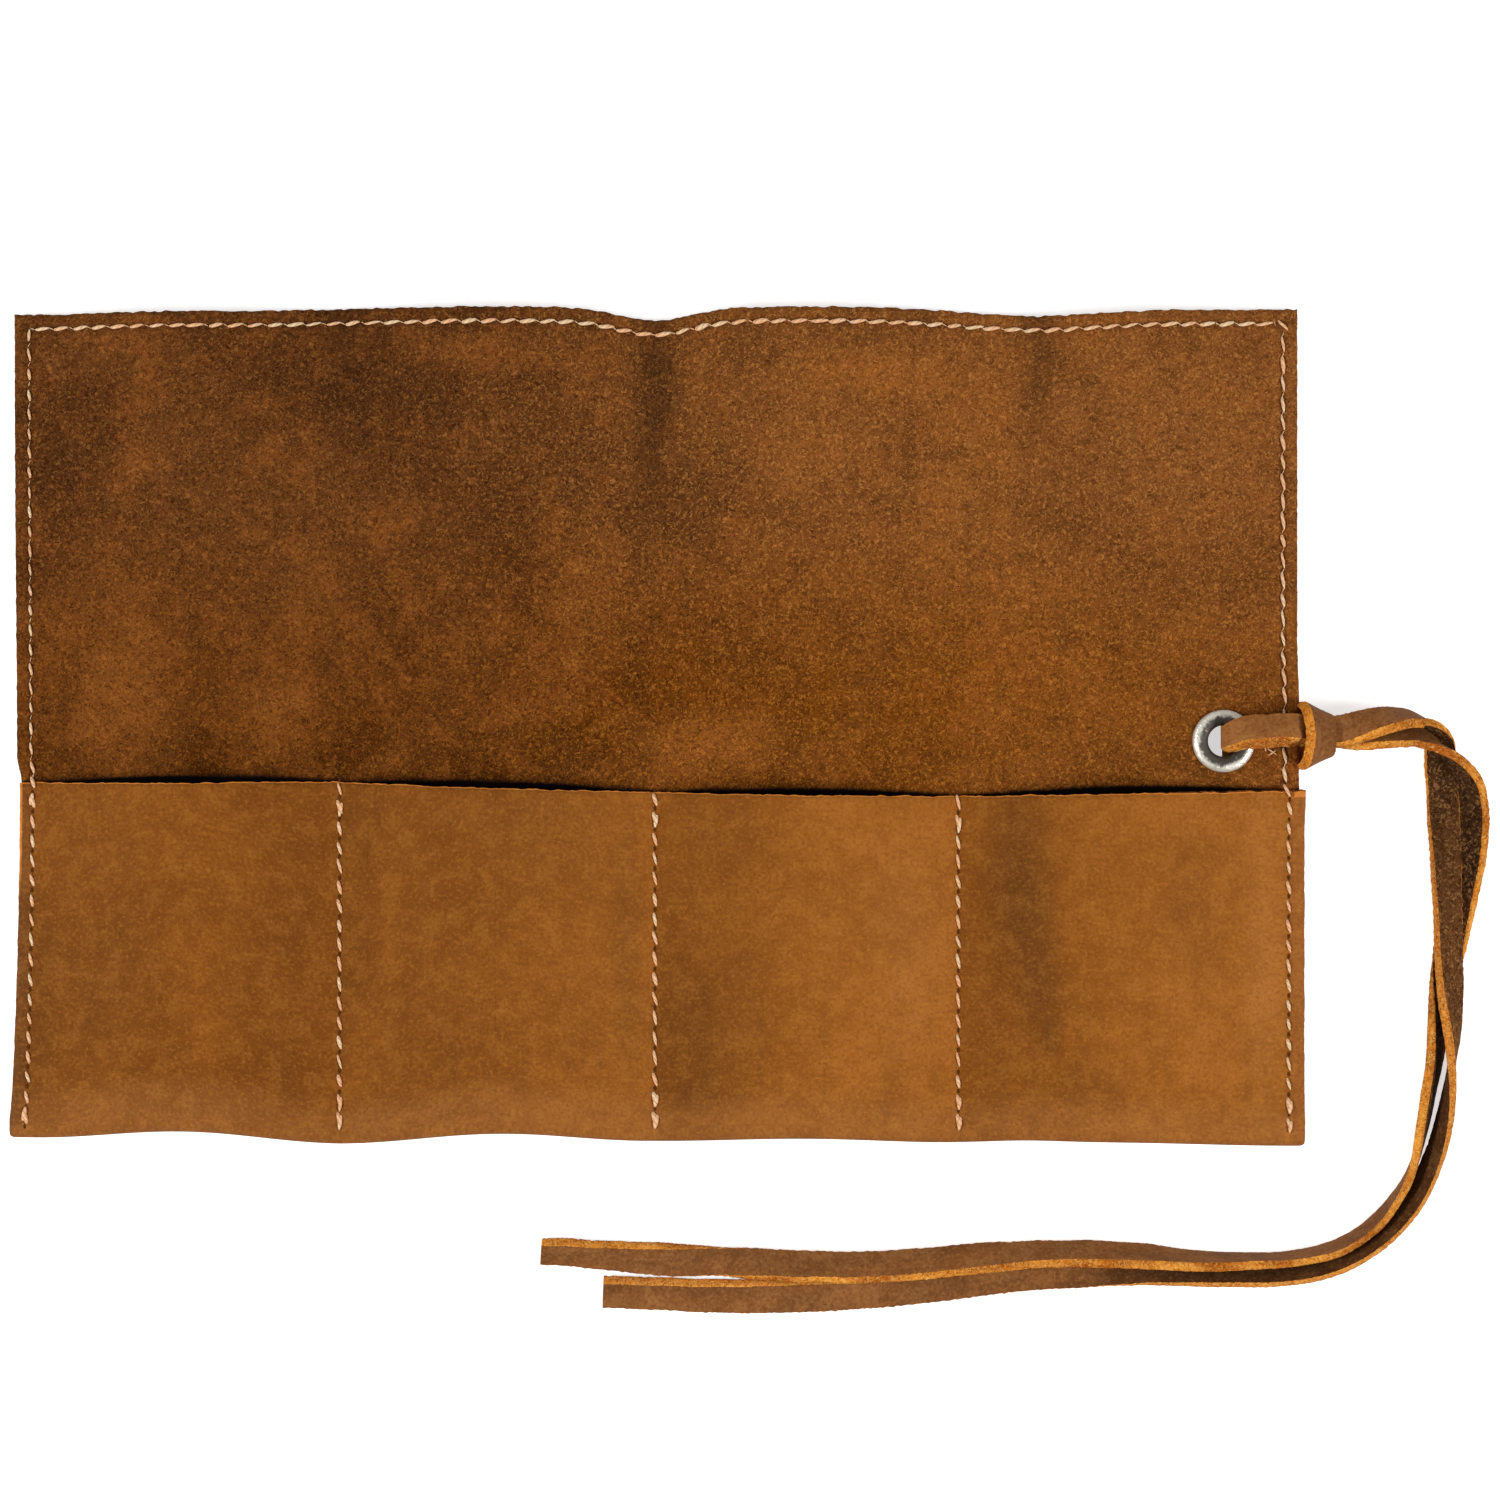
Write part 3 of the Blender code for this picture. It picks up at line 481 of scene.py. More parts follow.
# darker where stitches press the leather, and a painted shade line along the fold's outer turn
tone = mixed(times(pressed_and_fold_shade, 0.40), tone, paint(104, 58, 22))
margin_tone = mixed(spread(across, -0.05, 0.05), paint(118, 72, 38), paint(158, 96, 48))
tone = washed(
    tone, (upward, -0.106, -0.098, 0.5, paint(168, 106, 52)), (outside, 0.0, 1.0, 0.55, margin_tone),
    (outside, 1.0, 2.0, 1.0, paint(226, 138, 58)),
)
light = (0.30, paint(222, 150, 62))
dressed(shader, grain, place, tone, (0.70, 0.65, 0.50, 1.0), light, 0.75, (0.30, 0.00012))

# cut edge: the tan heart of the leather, fibrous and a little dirty
cut_edge, wiring, shader = new_material("cut_edge", sheen=0.05, shine=0.06)
place = stored(wiring, "hide_place")
dirt = noise(place, 330.0, 3.0, 0.6)
tone = mixed(spread(dirt, 0.40, 0.62), paint(112, 62, 24), paint(196, 118, 52))
light = (0.6, paint(236, 168, 96))
dressed(shader, nap, place, tone, (0.45, 0.40, 0.34, 1.0), light, 0.95, (0.8, 0.0005), Fineness=1.7)


def formed_grid(name, points):
    """A flat grid, formed so that its corners lie at points, row by row."""
    rows, columns = points.shape[:2]
    bpy.ops.object.select_all(action="DESELECT")
    bpy.ops.mesh.primitive_grid_add(x_subdivisions=columns - 1, y_subdivisions=rows - 1, size=1)
    made = bpy.context.object
    made.name = made.data.name = name
    made.data.vertices.foreach_set("co", points.astype(np.float32).ravel())
    made.data.update()
    return made


def vectors(data, field):
    """What a part of a mesh holds in a field, three numbers to a row."""
    values = np.zeros(len(data) * 3, np.float32)
    data.foreach_get(field, values)
    return values.reshape(-1, 3)


def write_marks(mesh, label, values):
    marked = mesh.attributes.get(label) or mesh.attributes.new(label, "FLOAT_VECTOR", "POINT")
    marked.data.foreach_set("vector", np.asarray(values, np.float32).ravel())


def given_thickness(made, thin, offset, places, tone_marks, far_side, looks):
    """Thickens a formed grid to the hide's thickness, less where it is thin, and marks it for its leather.

    The side that the thickness adds has places of its own and far_side as its third mark."""
    mesh = made.data
    taper = made.vertex_groups.new(name="thickness")
    levels = np.round(thin.ravel(), 2)
    for level in np.unique(levels):
        taper.add(np.flatnonzero(levels == level).tolist(), float(level), "REPLACE")
    count = len(mesh.vertices)
    write_marks(mesh, "hide_place", places)
    write_marks(mesh, "hide_marks", tone_marks)
    for look in looks:
        mesh.materials.append(look)
    thicken = made.modifiers.new("Thickness", "SOLIDIFY")
    thicken.thickness = HIDE
    thicken.offset = offset
    thicken.use_even_offset = True
    thicken.vertex_group = "thickness"
    thicken.material_offset = 1
    thicken.material_offset_rim = 2
    bpy.ops.object.modifier_apply(modifier=thicken.name)
    deep = vectors(mesh.attributes["hide_place"].data, "vector")
    deep[count:, 2] += HIDE
    write_marks(mesh, "hide_place", deep)
    marked = vectors(mesh.attributes["hide_marks"].data, "vector")
    marked[count:, 2] = np.ravel(far_side)[:len(marked) - count]
    write_marks(mesh, "hide_marks", marked)
    bpy.ops.object.shade_smooth_by_angle(angle=math.radians(40))


def cut_ends(left, right):
    return [end for end in (left, right) if from_ends(end) < 1e-6]


back_strips = []
for number, (left, right, body, next_body, start, stop, stands_for) in enumerate(STRIPS, 1):
    lines = [line for line in (STITCH_LINES[0], STITCH_LINES[-1]) if left < line < right]
    columns = marks(left, right, GRID_STEP, lines, cut_ends(left, right))
    length = ROLL_HEIGHT - HIDE
    rows = marks(0.0, length, GRID_STEP, [length - BORDER_INSET], [length]) / length
    x, share = np.meshgrid(columns, rows)
    low, top = fold_start(x), top_edge(x)
    y = low + (top - low) * share
    at_end, at_top = nearness(from_ends(x), BACK_WEAR), nearness(np.abs(top - y), BACK_WEAR)
    near = np.maximum(at_end, at_top)
    ragged = 0.00016 * unevenness(x, y, 0.0016, 5) + 0.00010 * unevenness(x, y, 0.006, 6)
    stitched = np.minimum(np.abs(np.abs(x) - STITCH_LINES[-1]), np.abs(top - BORDER_INSET - y))
    stitched = np.where(top - y < BORDER_INSET - 0.001, FAR_AWAY, stitched)
    inside = (np.abs(x) <= STITCH_LINES[-1] + 0.0012) & (top - y >= BORDER_INSET - 0.0012)
    groove = np.where(inside, hump(stitched, 0.0008), 0.0)
    z = lie(x, y) + HIDE - BACK_GROOVE * groove - EDGE_ROUNDING * near**2.5
    z = z + 0.00005 * unevenness(x, y, 0.0040, 8)
    points = np.stack((flared(x, y) + 0.4 * np.sign(x) * ragged * at_end, y + ragged * at_top, z), -1)
    strip = formed_grid(f"hide_back_{number}", points)
    places = np.stack((x, y, 0 * x), -1)
    over_bay = bay_share(x)[1]
    # the third mark carries painted shade along the creases and a painted shadow just above each pocket's
    # mouth, widest over its middle
    shaded = 0.0006 + 0.0015 * np.sin(math.pi * over_bay)
    painted_mouth_shadow = smooth((shaded - (y - mouth_edge(x))) / 0.0010)
    tone_marks = np.stack((near, groove, np.maximum(crease_depth(x, y), 2.0 * painted_mouth_shadow)), -1)
    thin = 1 - 0.35 * near**2 - 0.14 * groove
    given_thickness(strip, thin, -1.0, places, tone_marks, over_bay, (suede, smooth_leather, cut_edge))
    back_strips.append(strip)

# the punched hole that the eyelet sits in
bpy.ops.object.select_all(action="DESELECT")
bpy.ops.mesh.primitive_cylinder_add(
    vertices=64, radius=PUNCH_RADIUS, depth=0.02, location=(EYELET_X, EYELET_Y, 0.004)
)
punch = bpy.context.object
punch.data.materials.append(cut_edge)
bpy.ops.object.select_all(action="DESELECT")
bpy.context.view_layer.objects.active = back_strips[-1]
back_strips[-1].select_set(True)
punched = back_strips[-1].modifiers.new("Punched hole", "BOOLEAN")
punched.operation = "DIFFERENCE"
punched.solver = "EXACT"
punched.object = punch
bpy.ops.object.modifier_apply(modifier=punched.name)
bpy.data.objects.remove(punch)

for strip, (left, right, body, next_body, start, stop, stands_for) in zip(back_strips, STRIPS):
    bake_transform(strip)
    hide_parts(*[f"back_{label}" for label in stands_for])


# Pockets: the lower part of the same hide, folded up and over so that its grain side shows, and sewn down
# along both ends and at three lines between. Each of the four pockets stands open a little, fullest above
# its middle.
POCKET_HEIGHT = 0.0790
POCKET_BULGE = 0.0070
BULGE_PEAK = 0.55
MOUTH_SHARE = 0.80
BULGE_FULLNESS = 1.35
POCKET_WEAR = 0.0011
POCKET_GROOVE = 0.00022
FOLD_ROWS = 17
PITCH = 0.00435


def pocket_room(x, y):
    """Height of the room between the two layers."""
    start, end = fold_start(x), mouth_edge(x)
    share = np.clip((y - start) / (end - start), 0.0, 1.0)
    below = 1 - (1 - np.minimum(share / BULGE_PEAK, 1.0)) ** 2
    above = 1 - (1 - MOUTH_SHARE) * smooth((share - BULGE_PEAK) / (1 - BULGE_PEAK))
    swell = np.where(share < BULGE_PEAK, below, above)
    across = np.sin(math.pi * bay_share(x)[1]) ** BULGE_FULLNESS
    at_fold = (fold_gap(x) - PLAY) * (1 - smooth((y - start) / 0.010))
    dents = 0.00045 * unevenness(x, y * 0.8, 0.026, 21) + 0.00012 * unevenness(x, y, 0.009, 22)
    return PLAY + at_fold + (POCKET_BULGE + dents * (1.5 - across)) * across * swell


for number, (left, right, body, next_body, start, stop, stands_for) in enumerate(STRIPS, 1):
    lines = [line for line in STITCH_LINES if left - 1e-6 <= line <= right + 1e-6]
    columns = marks(left, right, GRID_STEP, lines, cut_ends(left, right))
    fold_x, turn = np.meshgrid(columns, np.linspace(0, math.pi, FOLD_ROWS))
    radius = (HIDE + fold_gap(fold_x)) / 2
    fold_y = fold_start(fold_x) - radius * np.sin(turn)
    fold_z = HIDE / 2 + radius * (1 - np.cos(turn)) + lie(fold_x, fold_y)
    round_the_fold = np.stack((flared(fold_x, fold_y), fold_y, fold_z), -1)
    place_low = np.stack((fold_x, fold_edge(fold_x) - radius * (turn - math.pi / 2), 0 * fold_x), -1)
    rise_length = POCKET_HEIGHT - HIDE
    rises = marks(0.0, rise_length, GRID_STEP, [], [rise_length])[1:] / rise_length
    x, rise = np.meshgrid(columns, rises)
    low, mouth = fold_start(x), mouth_edge(x)
    y = low + (mouth - low) * rise
    at_end, at_mouth = nearness(from_ends(x), POCKET_WEAR), nearness(np.abs(mouth - y), POCKET_WEAR)
    near = np.maximum(at_end, at_mouth)
    end_line = np.abs(np.abs(x) - STITCH_LINES[-1])
    seam_line = np.min([np.abs(x - seam) for seam in SEAMS], axis=0)
    stitched = np.minimum(end_line, seam_line)
    in_step = np.cos(2 * math.pi * y / PITCH)
    groove = hump(stitched, 0.0007) * (0.75 + 0.25 * in_step)
    pucker = 0.00010 * hump(stitched - 0.0016, 0.0013) * in_step
    ragged = 0.00012 * unevenness(x, y, 0.0015, 31) + 0.00012 * unevenness(x, y, 0.007, 32)
    z = lie(x, y) + 1.5 * HIDE + pocket_room(x, y) - POCKET_GROOVE * groove + pucker
    front = np.stack((flared(x, y, 1.0) + 0.4 * np.sign(x) * ragged * at_end, y + ragged * at_mouth, z), -1)
    place_high = np.stack((x, 2 * fold_edge(x) - y - 0.001, 0 * x), -1)
    strip = formed_grid(f"hide_pocket_{number}", np.concatenate((round_the_fold, front)))
    places = np.concatenate((place_low, place_high))
    fold_near = nearness(from_ends(fold_x), POCKET_WEAR)
    thin = 1 - 0.40 * np.concatenate((fold_near, near)) ** 2
    margin = np.where(np.abs(x) > STITCH_LINES[-1] + 0.0006, 0.8, 0.0)
    margin = np.where(mouth - y < np.where(x > STITCH_LINES[-1] + 0.001, 0.0013, 0.0002), 2.4, margin)
    rim = smooth((0.0010 - x - HALF_HIDE) / 0.0005) * smooth(1 - (mouth - y - 0.010) / 0.035)
    tone_marks = np.stack((np.maximum(margin, 2.0 * rim), groove, bay_share(x)[1]), -1)
    # round the fold: wear near the ends, and in the second mark a painted shade line along the fold's outer
    # turn
    fold_wear_and_shade = np.stack((fold_near * 0.5, 1.6 * hump(turn - 1.6, 0.5), bay_share(fold_x)[1]), -1)
    # the suede inside each pocket's front layer takes 0.5 as its third mark: a painted shade
    tone_marks, far_side = np.concatenate((fold_wear_and_shade, tone_marks)), np.full(thin.shape, 0.5)
    given_thickness(strip, thin, 0.0, places, tone_marks, far_side, (smooth_leather, suede, cut_edge))
    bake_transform(strip)
    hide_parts(*[f"pocket_{label}" for label in stands_for])


# Stitching: a waxed two-ply thread of natural colour, sewn by machine in one run up the left end, along the
# top and down the right end, and in three short runs that part the pockets. Each stitch leans a little in
# its holes.
THREAD = 0.00042
STITCH_SINK = 0.00012
STITCH_ARCH = 0.00030
# half a stitch's length as a share of the pitch, and how thick it is, at places along the suede
SUEDE_SHARES = ((-0.139, -0.138, -0.03, 0.137, 0.138), (0.31, 0.385, 0.425, 0.425, 0.415))
SUEDE_WEIGHTS = ((-0.06, -0.02, 0.137, 0.138), (1.02, 1.14, 1.14, 0.98))
# sizes of the dark lens laid at each needle hole as its painted shade, on the pockets and on the suede
POCKET_SLIT = (0.00058, 0.00028, 0.00008)
SUEDE_SLIT = (0.00018, 0.00012, 0.00004)

thread, wiring, shader = new_material("thread", sheen=0.20, shine=0.35)
along = axes_of(put("TexCoord", {}, "UV", wiring))
ply = sums("ADD", times(along[0], 2.0), times(along[1], 3.5))
ply = sums("ABSOLUTE", sums("SUBTRACT", sums("FRACT", ply), 0.5))
between = spread(ply, 0.13, 0.02)
own = put("TexCoord", {}, "Object", wiring)
fuzz = noise(own, 3200.0, 2.0, 0.6)
tone_marks = noise(own, 160.0, 2.0, 0.5)
tone = mixed(spread(tone_marks, 0.42, 0.64), paint(255, 194, 142), paint(255, 220, 174))
# painted shade in the grooves between the two plies
tone = mixed(times(between, 0.30), tone, paint(176, 112, 62))
tone = washed(tone, (fuzz, 0.52, 0.70, 0.35, paint(255, 232, 200)))
fill_in(shader, {"Base Color": tone, "Roughness": spread(fuzz, 0.3, 0.7, 0.6, 0.85)})
fill_in(shader, {"Normal": bumped(sums("SUBTRACT", fuzz, times(between, 1.6)), 0.8, 0.00015)})

# needle holes: a dark lens on the leather at each hole, painted shade for the hole's depth
needle_hole_shade, wiring, shader = new_material("needle_hole_shade", shine=0.05)
depth = noise(put("TexCoord", {}, "Object", wiring), 1200.0, 2.0)
fill_in(shader, {"Base Color": mixed(depth, paint(64, 34, 14), paint(104, 60, 26)), "Roughness": 0.98})


def unit(rows):
    return rows / np.linalg.norm(rows, axis=-1, keepdims=True)


def length_so_far(points):
    return np.concatenate(([0], np.cumsum(np.linalg.norm(np.diff(points, axis=0), axis=1))))


def sampled(wanted, so_far, places):
    """The places at the wanted lengths of a run."""
    return np.stack([np.interp(wanted, so_far, column) for column in places.T], -1)


def seam_route(points):
    """A fine run of points a quarter of a millimetre apart, with its length so far at each."""
    so_far = length_so_far(points)
    fine = np.arange(0, so_far[-1], 0.00025)
    return fine, sampled(fine, so_far, points)


def on_hide(x, y):
    """The upper surface of what lies at x, y: the back, or the pocket below its mouth."""
    back = lie(x, y) + HIDE
    pocket = lie(x, y) + 2 * HIDE + pocket_room(x, y)
    return back + (pocket - back) * smooth((mouth_edge(x) + 0.0026 - y) / 0.0026)


def run_of(x, y):
    return np.stack((flared(x, y, smooth((mouth_edge(x) + 0.001 - y) / 0.003)), y, on_hide(x, y)), -1)


def first_of(look, rings):
    bpy.ops.object.select_all(action="DESELECT")
    bpy.ops.mesh.primitive_uv_sphere_add(segments=8, ring_count=rings, radius=1)
    made = bpy.context.object
    made.data.materials.append(look)
    bpy.ops.object.shade_smooth()
    return made


first_stitch, first_hole_shade = first_of(thread, 7), first_of(needle_hole_shade, 4)


def laid_copy(first, place, ways, sizes, arch=0.0, lean=0.0, bend=0.0):
    """A copy of a modelled stitch or of a needle hole's painted shade, laid at place along the seam and bowed
    over the leather.

    ways point along, up and to the side, and sizes are half its length, width and height."""
    made = bpy.data.objects.new("stitch", first.data.copy())
    bpy.context.scene.collection.objects.link(made)
    across, over, run = vectors(first.data.vertices, "co").T
    if arch:
        round_end = np.maximum(np.sqrt(1 - np.minimum(run**2, 0.9999)), 0.02)
        full = np.minimum(np.maximum(1 - run**2, 0.0) ** 0.28 / round_end, 1.6)
        across, over = across * full, over * full
    along, up, side = ways
    length, width, height = sizes
    tail = 1 - 0.34 * smooth(run) - 0.12 * smooth(-run)
    pull = lean * (run + bend * np.sin(math.pi * run))
    at = place + np.outer(run * length, along) + np.outer(across * tail * width + pull, side)
    at = at + np.outer(over * height + arch * (1 - run**2), up)
    made.data.vertices.foreach_set("co", at.astype(np.float32).ravel())
    return made


def sew(route, draw, leaning, bordering):
    """Stitches along a route of (length so far, places): a list of copies, which differ a little."""
    so_far, places = route
    copies = []
    count = round(so_far[-1] / PITCH)
    pitch = so_far[-1] / count
    for step in range(count):
        middle = (step + 0.5 + 0.03 * draw.normal()) * pitch
        at, ahead, astern = (sampled(middle + far * pitch, so_far, places) for far in (0, 0.5, -0.5))
        along = unit(ahead - astern)
        side = unit(np.cross((0.0, 0.0, 1.0), along))
        up = np.cross(along, side)
        ways = (along, up, side)
        over_mouth = at[1] - mouth_edge(at[0])
        on_pocket = over_mouth < 0.001
        if on_pocket:
            share, tilt, weight, bend, slit = 0.340 if bordering else 0.365, 1.2, 1.0, 0.0, POCKET_SLIT
        else:
            share, tilt, weight = np.interp(at[0], *SUEDE_SHARES), 0.85, np.interp(at[0], *SUEDE_WEIGHTS)
            if at[0] < STITCH_LINES[0] + 0.001:
                tilt, weight = 0.55, 0.80
            bend, slit = 0.25, SUEDE_SLIT
        share = share * (1 + 0.07 * draw.normal())
        lean = leaning * tilt * (1 + 0.20 * draw.normal())
        thick = THREAD * weight * (1 + 0.10 * draw.normal())
        beside_mouth = bordering and at[0] < 0 and -0.0065 < over_mouth < -0.0022
        doubled = beside_mouth or step >= count - 2 or step == (0 if bordering else 1)
        sizes = (share * pitch, thick * (1.30 if doubled else 1.0), thick * 0.85)
        copies.append(laid_copy(first_stitch, at - up * STITCH_SINK, ways, sizes, STITCH_ARCH, lean, bend))
        if doubled:
            beside = at + side * 0.00022 + up * 0.00012 + along * 0.0006
            copies.append(laid_copy(first_stitch, beside, ways, sizes, 0.00024, -0.5 * lean))
        # the needle hole's painted shade
        copies.append(laid_copy(first_hole_shade, astern + up * 0.00002, ways, slit))
        if not on_pocket:
            link = (0.12 * pitch, 0.27 * thick, 0.27 * thick)
            copies.append(laid_copy(first_stitch, astern - up * 0.00004, ways, link, 0.00004, -lean))
        under = np.array((at[0], at[1], lie(at[0], at[1]) + 0.00030))
        copies.append(laid_copy(first_stitch, under, ways, sizes, -0.00018, -lean))
    return copies


def joined(copies, name):
    bpy.ops.object.select_all(action="DESELECT")
    for copy in copies:
        copy.select_set(True)
    bpy.context.view_layer.objects.active = copies[0]
    bpy.ops.object.join()
    made = bpy.context.object
    made.name = made.data.name = name
    return made


draw = np.random.default_rng(11)
left_line, right_line = STITCH_LINES[0], STITCH_LINES[-1]
up_left = np.arange(float(fold_start(left_line)), float(top_edge(left_line)) - BORDER_INSET, 0.0005)
top_x = np.arange(left_line, right_line, 0.0005)
down_right = np.arange(float(top_edge(right_line)) - BORDER_INSET, float(fold_start(right_line)), -0.0005)
left_run = run_of(np.full_like(up_left, left_line), up_left)
top_run = run_of(top_x, top_edge(top_x) - BORDER_INSET)
right_run = run_of(np.full_like(down_right, right_line), down_right)
border = seam_route(np.concatenate((left_run, top_run, right_run)))
to_share_out = sew(border, draw, 0.00029, True)
for number, (left, right, body, next_body, start, stop, stands_for) in enumerate(STRIPS, 1):
    until = right if number < len(STRIPS) else right + 0.01
    inside = [copy for copy in to_share_out if vectors(copy.data.vertices, "co")[:, 0].mean() < until]
    to_share_out = [copy for copy in to_share_out if copy not in inside]
    run = joined(inside, f"border_stitches_{number}")
    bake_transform(run)
    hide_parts(*[f"border_stitching_{label}" for label in stands_for])

for number, seam in enumerate(SEAMS, 1):
    down = np.arange(float(mouth_edge(seam)) + 0.0006, float(fold_start(seam)), -0.0004)
    route = seam_route(run_of(np.full_like(down, seam), down))
    divider = joined(sew(route, draw, 0.00030, False), f"divider_stitches_{number}")
    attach(divider, f"seam_{number}")
    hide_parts(f"divider_stitching_{number}")

# three frayed fibres beside the lace: where each lies, which way it points, in degrees, and half its length
FRAYED = ((0.1364, -0.0057, -34, 0.0015), (0.1366, -0.0060, 36, 0.0010), (0.1350, -0.0052, -70, 0.0006))
frayed = []
for x, y, turn, long in FRAYED:
    along = np.array((math.cos(math.radians(turn)), math.sin(math.radians(turn)), 0.0))
    ways = (along, np.array((0.0, 0.0, 1.0)), np.array((-along[1], along[0], 0.0)))
    at = np.array((x, y, float(on_hide(x, y)) + 0.0002))
    frayed.append(laid_copy(first_stitch, at, ways, (long, 0.00016, 0.00014), 0.0004))
frayed = joined(frayed, "frayed_ends")
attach(frayed, "bay_4")
bpy.data.objects.remove(first_stitch)
bpy.data.objects.remove(first_hole_shade)


# Eyelet: turned and pressed from nickel-plated brass, with its washer under the leather. The plating has
# darkened in the hollow round the bore and is rubbed bright on the rim.
BORE = 0.00345
FLANGE = 0.00695
EYELET_SEAT = EYELET_LIFT + HIDE
WASHER = 0.0062

nickel, wiring, shader = new_material("nickel", shine=0.5)
own = put("TexCoord", {}, "Object", wiring)
from_axis = stretched(own, (1.0, 1.0, 0.0), (-EYELET_X, -EYELET_Y, 0.0))
out_from = put("VectorMath", {0: from_axis}, "Value", operation="LENGTH")
grime = noise(own, 1150.0, 3.0, 0.7)
tarnish = noise(own, 300.0, 3.0, 0.6)
hollow = spread(out_from, 0.0064, 0.0046)
dark = sums("ADD", times(hollow, 0.62), times(tarnish, 0.55))
dark = spread(sums("ADD", dark, times(grime, 0.90)), 0.78, 1.25)
fill_in(shader, {
    "Base Color": mixed(dark, paint(252, 246, 230), paint(92, 86, 80)),
    "Metallic": spread(dark, 0.0, 1.0, 0.45, 0.75), "Roughness": spread(dark, 0.0, 1.0, 0.32, 0.60),
    "Normal": bumped(sums("ADD", grime, tarnish), 0.8, 0.0003),
})


def turned(name, profile):
    """A ring turned about the eyelet's axis, from points of (radius, height) round its section."""
    bpy.ops.object.select_all(action="DESELECT")
    bpy.ops.mesh.primitive_circle_add(vertices=len(profile), radius=0.001)
    made = bpy.context.object
    made.name = made.data.name = name
    for vertex, (radius, height) in zip(made.data.vertices, profile):
        vertex.co = (EYELET_X + radius, EYELET_Y, height)
    bpy.ops.object.mode_set(mode="EDIT")
    bpy.ops.mesh.select_all(action="SELECT")
    bpy.ops.mesh.spin(steps=96, angle=2 * math.pi, center=(EYELET_X, EYELET_Y, 0.0), axis=(0, 0, 1))
    bpy.ops.mesh.select_all(action="SELECT")
    bpy.ops.mesh.remove_doubles(threshold=0.00001)
    bpy.ops.mesh.normals_make_consistent(inside=False)
    bpy.ops.object.mode_set(mode="OBJECT")
    made.data.materials.append(nickel)
    bpy.ops.object.shade_smooth_by_angle(angle=math.radians(50))
    return made


middle, half = 0.5 * (FLANGE + BORE), 0.5 * (FLANGE - BORE)
rim = [(middle - 0.0002, EYELET_SEAT - 0.0002), (FLANGE - 0.0001, EYELET_SEAT - 0.0001)]
for step in range(13):
    turn = math.pi * step / 12
    height = EYELET_SEAT + 0.0001 + 0.0013 * math.sin(turn) ** 0.8 - 0.0002 * (step / 12) ** 2
    rim.append((middle + half * math.cos(turn), height))
rim += [(BORE, EYELET_SEAT - 0.001), (BORE, EYELET_LIFT - 0.0008), (BORE + 0.0005, EYELET_LIFT - 0.0008)]
rim += [(BORE + 0.0006, EYELET_SEAT - 0.0004)]
eyelet = turned("eyelet_front", rim)
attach(eyelet, "bay_4")
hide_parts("eyelet")

washer_top = EYELET_LIFT - 0.0001
washer_bore = BORE + 0.0007
section = [(washer_bore, washer_top - 0.0005), (washer_bore, washer_top), (WASHER - 0.0002, washer_top)]
section += [(WASHER, washer_top - 0.0002), (WASHER - 0.0002, washer_top - 0.0006)]
washer = turned("eyelet_back", section)
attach(washer, "bay_4")
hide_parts("eyelet_washer")


# Lace: one flat strip of the same leather, about 6.4 mm wide and 1.9 mm thick, doubled. Its two strands pass
# under the hide, up through the eyelet, back over the edge and under the lace's own bight, and leave as two
# free tails.
LACE_WIDTH = 0.0064
LACE_THICKNESS = 0.0019
TAIL_STEP = 0.0005
TAPERING_STEPS = 70
# what each stretch of the lace counts its length from, so that its leather can tell them apart
STRANDS_FROM, BIGHT_FROM, LONG_FROM, SHORT_FROM = 0.5, 1.3, 3.1, 4.1


def lace_look(name, dark, body, lit, pale, shade, fineness, strength):
    """One side of the lace: its fibres lie along it, and the short tail is lighter from its bend on."""
    made, wiring, shader = new_material(name, sheen=0.05, shine=0.06)
    place = stored(wiring, "lace_place")
    run, _, through = axes_of(place)
    drift = noise(stretched(place, (0.35, 1.0, 1.0)), 210.0, 3.0, 0.6)
    tone = mixed(spread(drift, 0.38, 0.64), paint(*dark), paint(*body))
    tone = washed(
        tone, (run, SHORT_FROM + 0.030, SHORT_FROM + 0.075, 0.70, paint(*lit)),
        (through, -0.0002, -0.0009, 0.45, paint(*dark)),
    )
    # painted light: the bight, high on the hitch, is a lighter orange on its edges and flesh
    bight = spread(run, BIGHT_FROM - 0.10, BIGHT_FROM - 0.05, 0.0, 0.75)
    bight = times(bight, spread(run, BIGHT_FROM + 0.15, BIGHT_FROM + 0.10))
    tone = mixed(bight, tone, paint(255, 160, 54))
    light = (0.6, paint(*pale))
    dressed(shader, nap, place, tone, (*shade, 1.0), light, 0.92, (strength, 0.0006), Fineness=fineness)
    return made


lace_edge = lace_look(
    "lace_edge", (190, 102, 26), (255, 168, 64), (240, 154, 66), (255, 208, 120), (0.52, 0.40, 0.24), 1.1, 1.0
)
lace_flesh = lace_look(
    "lace_flesh", (60, 37, 19), (94, 59, 30), (144, 90, 44), (178, 128, 80), (0.40, 0.32, 0.24), 0.8, 0.8
)


lace_face, wiring, shader = new_material("lace_face", shine=0.12)
place = stored(wiring, "lace_place")
run = axes_of(place)[0]
drift = noise(stretched(place, (0.30, 1.0, 1.0)), 160.0, 3.0, 0.6)
tone = mixed(spread(drift, 0.38, 0.64), paint(130, 81, 40), paint(150, 94, 47))
